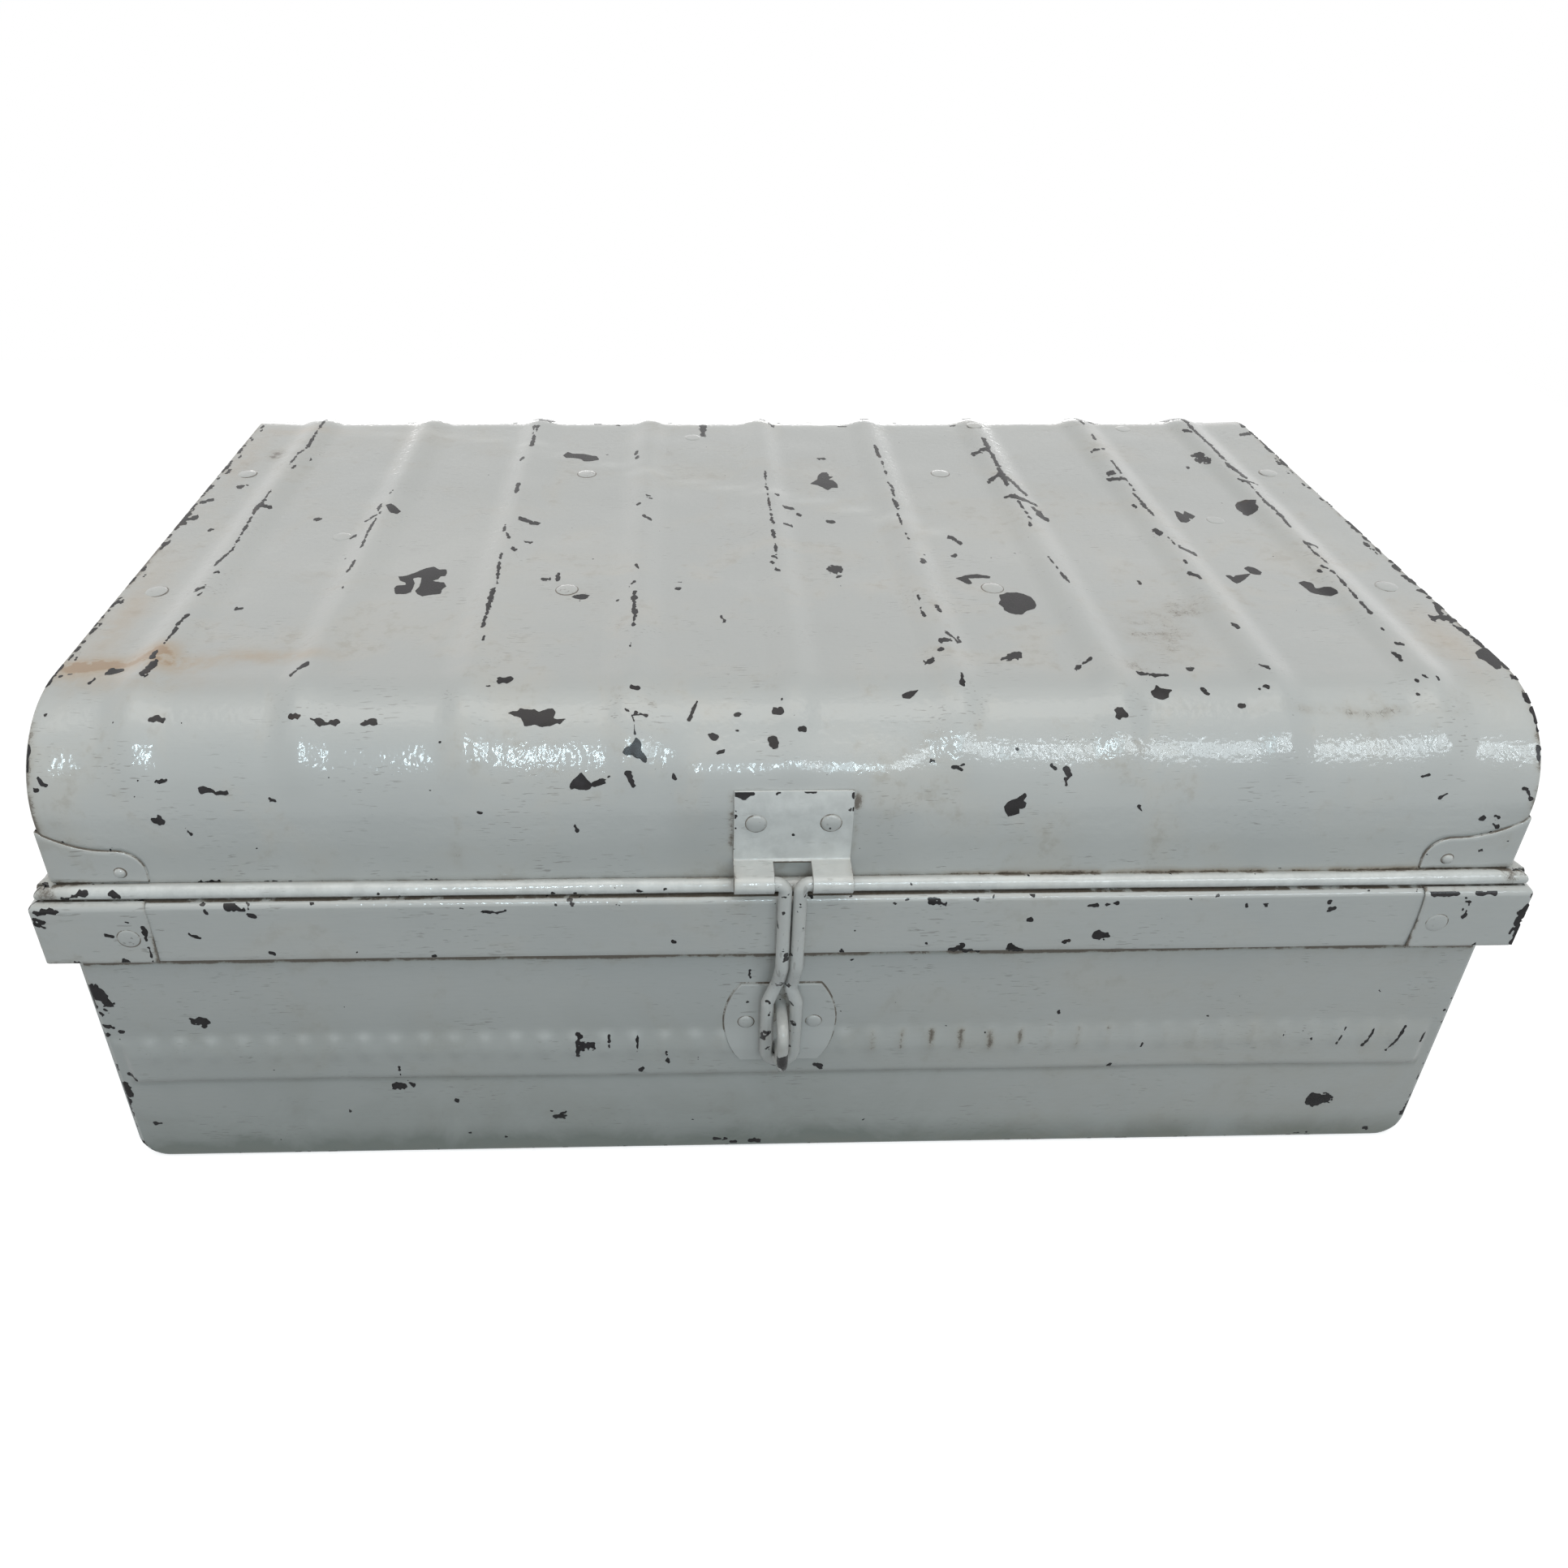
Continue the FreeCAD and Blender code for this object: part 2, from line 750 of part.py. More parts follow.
def lip(face, lid_face, half_length, along):
    """Strip inside one wall: fixed below the ledge, set in and standing up inside the lid."""
    out = along.cross(Z)
    wall = face - sheet - lap_gap
    inner = lid_face - sheet - lip_clear
    joggle_top = rim_height - lip_joggle_drop
    points = [
        out * wall + Z * (rim_height - lip_depth),
        out * wall + Z * (joggle_top - lip_joggle),
        out * inner + Z * joggle_top,
        out * inner + Z * (rim_height + lip_rise),
    ]
    strip = bent_sheet(points, [lip_fold_radius] * 2, -sheet, along, 2 * half_length)
    strip.translate(along * -half_length)
    return strip


def rim_cap():
    """Cap folded over the rim's front right corner."""
    def leg(band, along, place):
        out = along.cross(Z)
        outer = band + lap_gap + cap_sheet
        top = rim_height + lap_gap + cap_sheet
        points = [
            out * outer + Z * band_low,
            out * outer + Z * top,
            out * (band - cap_flange) + Z * top,
        ]
        round_radius = shoulder_radius + lap_gap + cap_sheet
        strip = bent_sheet(points, [round_radius], -cap_sheet, along, cap_length + spare)
        strip.translate(along * place)
        return strip

    ends = end_zone(0)
    front = leg(band_y, V(X), band_x - cap_length).cut(ends)
    side = leg(band_x, V(Y), -band_y - spare).common(ends)
    return pierced(fused([front, side]), cap_spots(), cap_rivet[0])


def hinge_axis_y():
    return band_y + lap_gap + fitting_sheet + hinge_pin_radius + hinge_pin_fit


def hinge_lid_leaf(x):
    """Leaf on the lid's back with one knuckle in the middle."""
    bore = hinge_pin_radius + hinge_pin_fit
    shelf = bead_z + bead_radius + hinge_shelf_clear
    plate = knuckle_plate(-hinge_axis_y(), bead_z, bore, shelf, hinge_leaf_wrap, hinge_width)
    keep = hinge_tongue_width / 2
    notch_back = -half_depth - lap_gap - fitting_sheet - fold_inner_radius
    for side in (-1, 1):
        notch = block(keep, hinge_width, -hinge_axis_y() - spare, notch_back, 0, shelf + spare / 2)
        plate = plate.cut(notch if side > 0 else mirrored(notch, X))
    leaf = mirrored(plate, Y)
    leaf.translate(X * x)
    return pierced(leaf, hinge_lid_spots(x), hinge_rivet[0])


def hinge_body_leaf(x):
    """Leaf on the band's back with two outer knuckles."""
    bore = hinge_pin_radius + hinge_pin_fit
    axis_y = hinge_axis_y()
    points = [
        V(0, axis_y - bore, rim_height - hinge_leaf_drop),
        V(0, axis_y - bore, bead_z + bore),
        V(0, axis_y + bore, bead_z + bore),
        V(0, axis_y + bore, bead_z - bore),
        V(0, axis_y, bead_z - bore),
    ]
    leaf = bent_sheet(points, [bore] * 3, fitting_sheet, X, hinge_width)
    leaf.translate(X * -hinge_width / 2)
    room = hinge_tongue_width / 2 + hinge_side_gap
    swing = bore + fitting_sheet + hinge_side_gap
    leaf = leaf.cut(block(-room, room, 0, axis_y + spare, bead_z - swing, trunk_height))
    leaf.translate(X * x)
    return pierced(leaf, hinge_body_spots(x), hinge_rivet[0])


def hinge_pin(x):
    return Part.makeCylinder(hinge_pin_radius, hinge_width, V(x - hinge_width / 2, hinge_axis_y(), bead_z), X)


def handle_axis_x():
    return face_x + lap_gap + fitting_sheet + handle_rod_radius + pivot_fit


def handle_plates(side):
    """Two plates on one end, each curled at its lower edge round the handle's turned end."""
    bore = handle_rod_radius + pivot_fit
    axis_x = handle_axis_x()
    axis_z = handle_axis_z()
    points = [
        V(axis_x - bore, 0, band_low - handle_plate_below_band),
        V(axis_x - bore, 0, axis_z - bore),
        V(axis_x + bore, 0, axis_z - bore),
        V(axis_x + bore, 0, axis_z + bore),
        V(axis_x, 0, axis_z + bore),
    ]
    plate = bent_sheet(points, [bore] * 3, fitting_sheet, Y, handle_plate_width)
    plate.translate(Y * handle_plate_starts())
    if side < 0:
        plate = mirrored(plate, X)
    return [pierced(shape, handle_spots(side), handle_rivet[0]) for shape in (mirrored(plate, Y), plate)]


def handle(side):
    """Drop handle: one bent rod that hangs against the end."""
    x = side * handle_axis_x()
    top = handle_axis_z()
    low = top - handle_drop
    grip = handle_grip_width / 2
    end = handle_plate_starts() + handle_plate_width
    points = [
        V(x, -end, top), V(x, -grip, top), V(x, -grip, low),
        V(x, grip, low), V(x, grip, top), V(x, end, top),
    ]
    radii = [handle_pivot_bend, handle_grip_bend, handle_grip_bend, handle_pivot_bend]
    return rod(points, radii, handle_rod_radius)


def rivets(spots, kind, stand, depth):
    """A set of rivets whose heads stand on a plate that is stand thick over the spots."""
    return Part.Compound([rivet(spot + out * stand, out, kind, stand + depth) for spot, out in spots])


def flip(shape, fx, fy):
    """The front right shape, carried to another corner."""
    if fx < 0:
        shape = mirrored(shape, X)
    if fy < 0:
        shape = mirrored(shape, Y)
    return shape


def build():
    nodes = {}
    corner_names = [
        ("front_right", 1, 1), ("front_left", -1, 1), ("back_right", 1, -1), ("back_left", -1, -1)]
    sides = [("left", -1), ("right", 1)]
    through_sheet = sheet + lap_gap
    on_fitting = fitting_sheet + lap_gap

    # Body
    nodes["body_front_panel"] = body_front_panel()
    nodes["body_back_panel"] = body_back_panel()
    nodes["body_wrap"] = body_wrap()
    cap = rim_cap()
    for name, fx, fy in corner_names:
        nodes["rim_cap_" + name] = flip(cap, fx, fy)
    cap_points = [spot for spots in all_corners(cap_spots()) for spot in spots]
    nodes["rim_cap_rivets"] = rivets(cap_points, cap_rivet, cap_sheet + lap_gap, through_sheet)
    front_lip = lip(face_y, half_depth, face_x - lip_corner, V(X))
    right_lip = lip(face_x, half_width, face_y - lip_corner, V(Y))
    nodes["lip_front"] = front_lip
    nodes["lip_back"] = mirrored(front_lip, Y)
    nodes["lip_right"] = right_lip
    nodes["lip_left"] = mirrored(right_lip, X)
    nodes["staple_plate"] = staple_plate()
    nodes["staple"] = staple()
    nodes["staple_plate_rivets"] = rivets(staple_spots(), staple_rivet, on_fitting, through_sheet)
    hinge_body_points = []
    hinge_lid_points = []
    for (name, side), x in zip(sides, hinge_places()):
        nodes["hinge_body_leaf_" + name] = hinge_body_leaf(x)
        nodes["hinge_lid_leaf_" + name] = hinge_lid_leaf(x)
        nodes["hinge_pin_" + name] = hinge_pin(x)
        hinge_body_points += hinge_body_spots(x)
        hinge_lid_points += hinge_lid_spots(x)
    nodes["hinge_body_rivets"] = rivets(hinge_body_points, hinge_rivet, on_fitting, through_sheet)
    for name, side in sides:
        front_plate, back_plate = handle_plates(side)
        nodes["handle_plate_" + name + "_front"] = front_plate
        nodes["handle_plate_" + name + "_back"] = back_plate
        nodes["handle_rivets_" + name] = rivets(handle_spots(side), handle_rivet, on_fitting, through_sheet)
        nodes["handle_" + name] = handle(side)

    # Lid
    lid_corner_points = all_corners(corner_spots())
    wrap = lid_wrap()
    battens = {"front": -batten_place, "back": batten_place}
    batten_points = [spot for place in battens.values() for spot in batten_spots(place)]
    wrap = pierced(wrap, batten_points, batten_rivet[0])
    wrap = pierced(wrap, hasp_spots(), hasp_rivet[0])
    wrap = pierced(wrap, hinge_lid_points, hinge_rivet[0])
    for out in (Y, -Y):
        wrap = pierced(wrap, facing(lid_corner_points, out), corner_rivet[0])
    nodes["lid_wrap"] = wrap
    right_end = lid_right_end()
    for (name, side), end in zip(sides, (mirrored(right_end, X), right_end)):
        nodes["lid_end_" + name] = pierced(end, facing(lid_corner_points, X * side), corner_rivet[0])
    nodes["lid_edge_wire"] = edge_wire()
    plate = lid_corner_plate()
    for name, fx, fy in corner_names:
        nodes["lid_corner_plate_" + name] = flip(plate, fx, fy)
    corner_points = [spot for spots in lid_corner_points for spot in spots]
    nodes["lid_corner_rivets"] = rivets(corner_points, corner_rivet, corner_sheet + lap_gap, through_sheet)
    for name, place in battens.items():
        nodes["lid_batten_" + name] = lid_batten(place)
    batten_grip = through_sheet + batten_thick + lap_gap
    nodes["lid_batten_rivets"] = rivets(batten_points, batten_rivet, lap_gap, batten_grip)
    nodes["hasp_plate"] = hasp_plate()
    nodes["hasp_plate_rivets"] = rivets(hasp_spots(), hasp_rivet, on_fitting, through_sheet)
    nodes["hinge_lid_rivets"] = rivets(hinge_lid_points, hinge_rivet, on_fitting, through_sheet)
    nodes["hasp"] = hasp()
    return nodes


os.makedirs("parts", exist_ok=True)
for node_name, shape in build().items():
    shape.exportStep("parts/" + node_name + ".step")
    print(node_name, len(shape.Solids), shape.isValid(), round(shape.Volume, 1))
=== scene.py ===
import math
import random

import bpy
import numpy as np
from mathutils import Matrix


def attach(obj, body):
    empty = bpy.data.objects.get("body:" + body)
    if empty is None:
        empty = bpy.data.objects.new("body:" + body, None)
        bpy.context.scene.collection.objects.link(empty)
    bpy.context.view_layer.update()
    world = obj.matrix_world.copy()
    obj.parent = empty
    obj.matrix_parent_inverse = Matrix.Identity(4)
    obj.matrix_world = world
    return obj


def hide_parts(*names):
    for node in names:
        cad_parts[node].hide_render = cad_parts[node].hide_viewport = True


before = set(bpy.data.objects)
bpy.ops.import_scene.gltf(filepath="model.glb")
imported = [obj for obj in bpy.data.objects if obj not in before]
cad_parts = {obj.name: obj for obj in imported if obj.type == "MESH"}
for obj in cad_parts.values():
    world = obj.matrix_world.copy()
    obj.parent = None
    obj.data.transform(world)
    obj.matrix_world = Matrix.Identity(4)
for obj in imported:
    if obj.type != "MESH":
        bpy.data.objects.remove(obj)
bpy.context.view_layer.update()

# Sizes of the trunk in millimetres, as in the part. Everything below is worked out in millimetres.
MM = 0.001
SHEET = 0.9
HALF_X, HALF_Y = 380.0, 233.5
WRAP_X = 378.5
ROLL, ROLL_Z, TOP_Z = 54.0, 251.0, 305.0
FLAT_Y = HALF_Y - ROLL
RIB_FIRST, RIB_PITCH, RIB_HALF, RIB_HIGH = -332.0, 83.0, 17.0, 3.35
BEAD_Z, BEAD_OUT, BEAD_R = 210.3, 3.1, 4.0
BEAD_START = math.acos(BEAD_OUT / BEAD_R)
BEAD_MEET = BEAD_R * math.sin(BEAD_START)
FACE_X, FACE_Y = 380.8, 234.3
PANEL_X, PANEL_CORNER, PANEL_FOLD = 379.8, 15.0, 2.0
CORNER_X, CORNER_Z, CORNER_R, CORNER_STEPS = 364.8, 16.0, 16.0, 13
RIM_Z, BAND_OUT, BAND_LOW, SHOULDER = 206.0, 9.8, 168.0, 3.0
BAND_X, BAND_Y = HALF_X + BAND_OUT, HALF_Y + BAND_OUT
MITRE = 0.15  # how far bead and rim stop short of the corners' mitres
SWAGE_LOW, SWAGE_HIGH, SWAGE_RISE, SWAGE_X = 66.0, 103.0, 2.2, 372.8
FLUTE_PITCH, FLUTE_X = 16.87, -1.3
CAP_OFF, CAP_LEG = 0.9, 58.0
LAP = 0.1
PLATE = 1.5
HASP_X, HASP_Y, HASP_Z, HASP_R = -1.5, -247.8, 220.5, 3.6
HASP_BORE = HASP_R + 0.08
STAPLE_X, STAPLE_Z, STAPLE_R, STAPLE_HALF = -4.0, 109.0, 3.1, 15.0
STAPLE_BACKS = (-FACE_Y + 1.0, -FACE_Y + 1.0 - SWAGE_RISE)
EYE_Y = -242.6
HINGE_XS, HINGE_Y, HINGE_BORE = (-210.0, 210.0), 247.46, 2.56
HANDLE_X, HANDLE_Z, HANDLE_R, HANDLE_END = 386.48, 126.0, 4.0, 78.5
KNUCKLE_Y = -HALF_Y - LAP - PLATE - 1.0  # beyond this a plate on the lid belongs to its knuckles

# Length round the lid's sheet, from the bead's height in front over the top to the bead behind.
S_ROLL = ROLL_Z - BEAD_Z
S_TOP = S_ROLL + ROLL * math.pi / 2
S_BACK = S_TOP + 2 * FLAT_Y
S_DOWN = S_BACK + ROLL * math.pi / 2
S_END = S_DOWN + S_ROLL

# Seeds of the unevenness that a surface shares with the bare patches on it.
PANEL_SEED = {-1: 51, 1: 61}
BAND_SEED = {-1: 56, 1: 66}
END_BAND_SEED = {-1: 74, 1: 76}

# Larger bare patches on the lid, each as its outline: x and length round the sheet.
LID_PATCHES = [
    [(-225, 235), (-220.5, 236), (-216, 240), (-211, 245.5), (-206.5, 247.5), (-202.5, 244), (-198.5, 244),
     (-197, 239), (-197.5, 235.5), (-200, 235.5), (-201, 231.5), (-204, 229.5), (-202.5, 228.5),
     (-196.5, 227.5), (-195, 222.5), (-197, 218.5), (-196.5, 213.5), (-201, 212.5), (-206.5, 210.5),
     (-210, 213.5), (-212, 217.5), (-210.5, 221.5), (-210.5, 228.5), (-211, 233.5), (-213, 234), (-216, 232.5),
     (-214, 226.5), (-213.5, 220.5), (-214, 215.5), (-216.5, 213.5), (-222.5, 213.5), (-224.5, 220.5),
     (-224, 223.5), (-218.5, 224.5), (-219.5, 227.5), (-222.5, 229.5)],
    [(-145, 98.5), (-142.5, 99.5), (-140, 99.5), (-139, 101), (-134, 100), (-132, 100.5), (-129.5, 99),
     (-126, 100.5), (-122.5, 101), (-121, 98.5), (-122, 95.5), (-120.5, 95), (-118, 95), (-114, 95.5),
     (-116, 94.5), (-119, 92), (-120, 92.5), (-124, 91), (-127.5, 90.5), (-131, 92), (-132, 92), (-134, 91),
     (-136.5, 91), (-137, 93), (-138.5, 95.5), (-141.5, 96.5)],
    [(126.5, 209.5), (129, 210.5), (131.5, 212.5), (137, 212.5), (141.5, 210.5), (144.5, 206.5),
     (145.5, 202.5), (145.5, 197.5), (143, 192.5), (138.5, 190), (135, 186), (131, 186), (128, 188),
     (125.5, 191), (125.5, 194.5), (124, 198.5), (126, 203.5)],
    [(31, 373.5), (36.5, 381), (37.5, 388), (41, 394), (44.5, 394), (45.5, 386.5), (48.5, 386.5), (44.5, 381),
     (47.5, 379.5), (49.5, 373.5), (49.5, 366.5), (45, 366.5), (42, 362.5), (40, 365), (36, 371)],
    [(105, 231), (111.5, 234.5), (119, 236.5), (126.5, 233), (125.5, 231), (118, 231), (112.5, 231),
     (113.5, 227), (114, 224), (111.5, 223), (108, 227)],
    [(-144, 426.5), (-141, 433), (-137, 429.5), (-130, 429.5), (-124.5, 426.5), (-119.5, 425), (-117.5, 418.5),
     (-122.5, 415.5), (-128, 415.5), (-130.5, 420), (-136.5, 422), (-141.5, 422)],
    [(314.5, 336.5), (317.5, 340.5), (323, 342), (326.5, 339.5), (328.5, 338), (326, 332.5), (326.5, 328.5),
     (324, 323.5), (320, 321), (316, 318.5), (314, 321), (314.5, 325), (313, 330)],
    [(309, 223.5), (313, 225.5), (316.5, 223), (317, 220), (316, 216), (321, 216), (324, 214), (325, 210),
     (324.5, 206), (320, 205), (317, 207), (312.5, 210), (311, 212), (310, 217)],
    [(-87.5, 76.5), (-86.5, 79), (-84, 80), (-82, 82), (-80.5, 84.5), (-78.5, 82.5), (-77.5, 80.5), (-78, 78),
     (-76.5, 76), (-75, 73.5), (-75.5, 71), (-77.5, 71.5), (-79, 73.5), (-81, 73.5), (-82.5, 75), (-86, 75)],
    [(-114, 58.5), (-113.5, 60), (-112, 62.5), (-109.5, 64.5), (-108, 66.5), (-106.5, 64.5), (-105.5, 63),
     (-104, 61.5), (-103, 59.5), (-103.5, 57), (-105.5, 56.5), (-109.5, 56.5), (-111, 57.5), (-113, 57)],
    [(106, 44.5), (107, 46.5), (109, 48), (112, 49.5), (114.5, 51.5), (116.5, 53), (117, 50.5), (115.5, 48),
     (117.5, 46.5), (116.5, 44), (115, 43), (114, 43), (114, 40.5), (111, 39.5), (108.5, 38.5), (107, 41)],
    [(183.5, 109), (185.5, 110), (187.5, 113), (189, 111), (192, 110), (195, 109.5), (193, 107), (192, 104.5),
     (189, 103.5), (186.5, 104), (184.5, 105), (183.5, 106.5)],
    [(269, 233), (271.5, 233), (272.5, 230), (275, 233), (281, 235), (284.5, 235), (280.5, 230), (275, 224.5),
     (271.5, 222.5), (270, 225.5)],
    [(283.5, 242.5), (287, 245), (290.5, 242.5), (292.5, 237), (290.5, 234), (287.5, 234), (285, 236)],
    [(269.5, 327.5), (272, 326.5), (274, 321), (276.5, 327.5), (278.5, 323.5), (281, 318.5), (277.5, 314.5),
     (275, 316), (275.5, 312), (271.5, 308.5), (268, 309.5), (268, 314.5)],
    [(-44.5, 86), (-42.5, 87), (-39.5, 85.5), (-39, 84.5), (-40.5, 82.5), (-43, 83)],
    [(-41, 76), (-39, 77.5), (-36, 78), (-36.5, 76), (-40, 75)],
    [(54.5, 107.5), (57.5, 109.5), (60.5, 110), (63.5, 110.5), (61, 107), (58.5, 105), (55, 105.5)],
    [(-297.5, 59.5), (-295, 60.5), (-292, 59.5), (-289.5, 58.5), (-289.5, 57), (-286.5, 58), (-285, 57.5),
     (-283, 58.5), (-282.5, 56), (-284, 55), (-287, 55.5), (-289, 55.5), (-290.5, 57), (-294, 57),
     (-296.5, 56)],
    [(370, 140.5), (374.5, 144), (379, 144.5), (380, 138.5), (379, 132), (375, 124.5), (372, 123.5),
     (371, 128), (371, 132), (368.5, 134.5)],
    [(-251.5, 331.5), (-249, 334), (-245, 330), (-240.5, 325), (-242, 320), (-246, 320), (-249, 325)]]
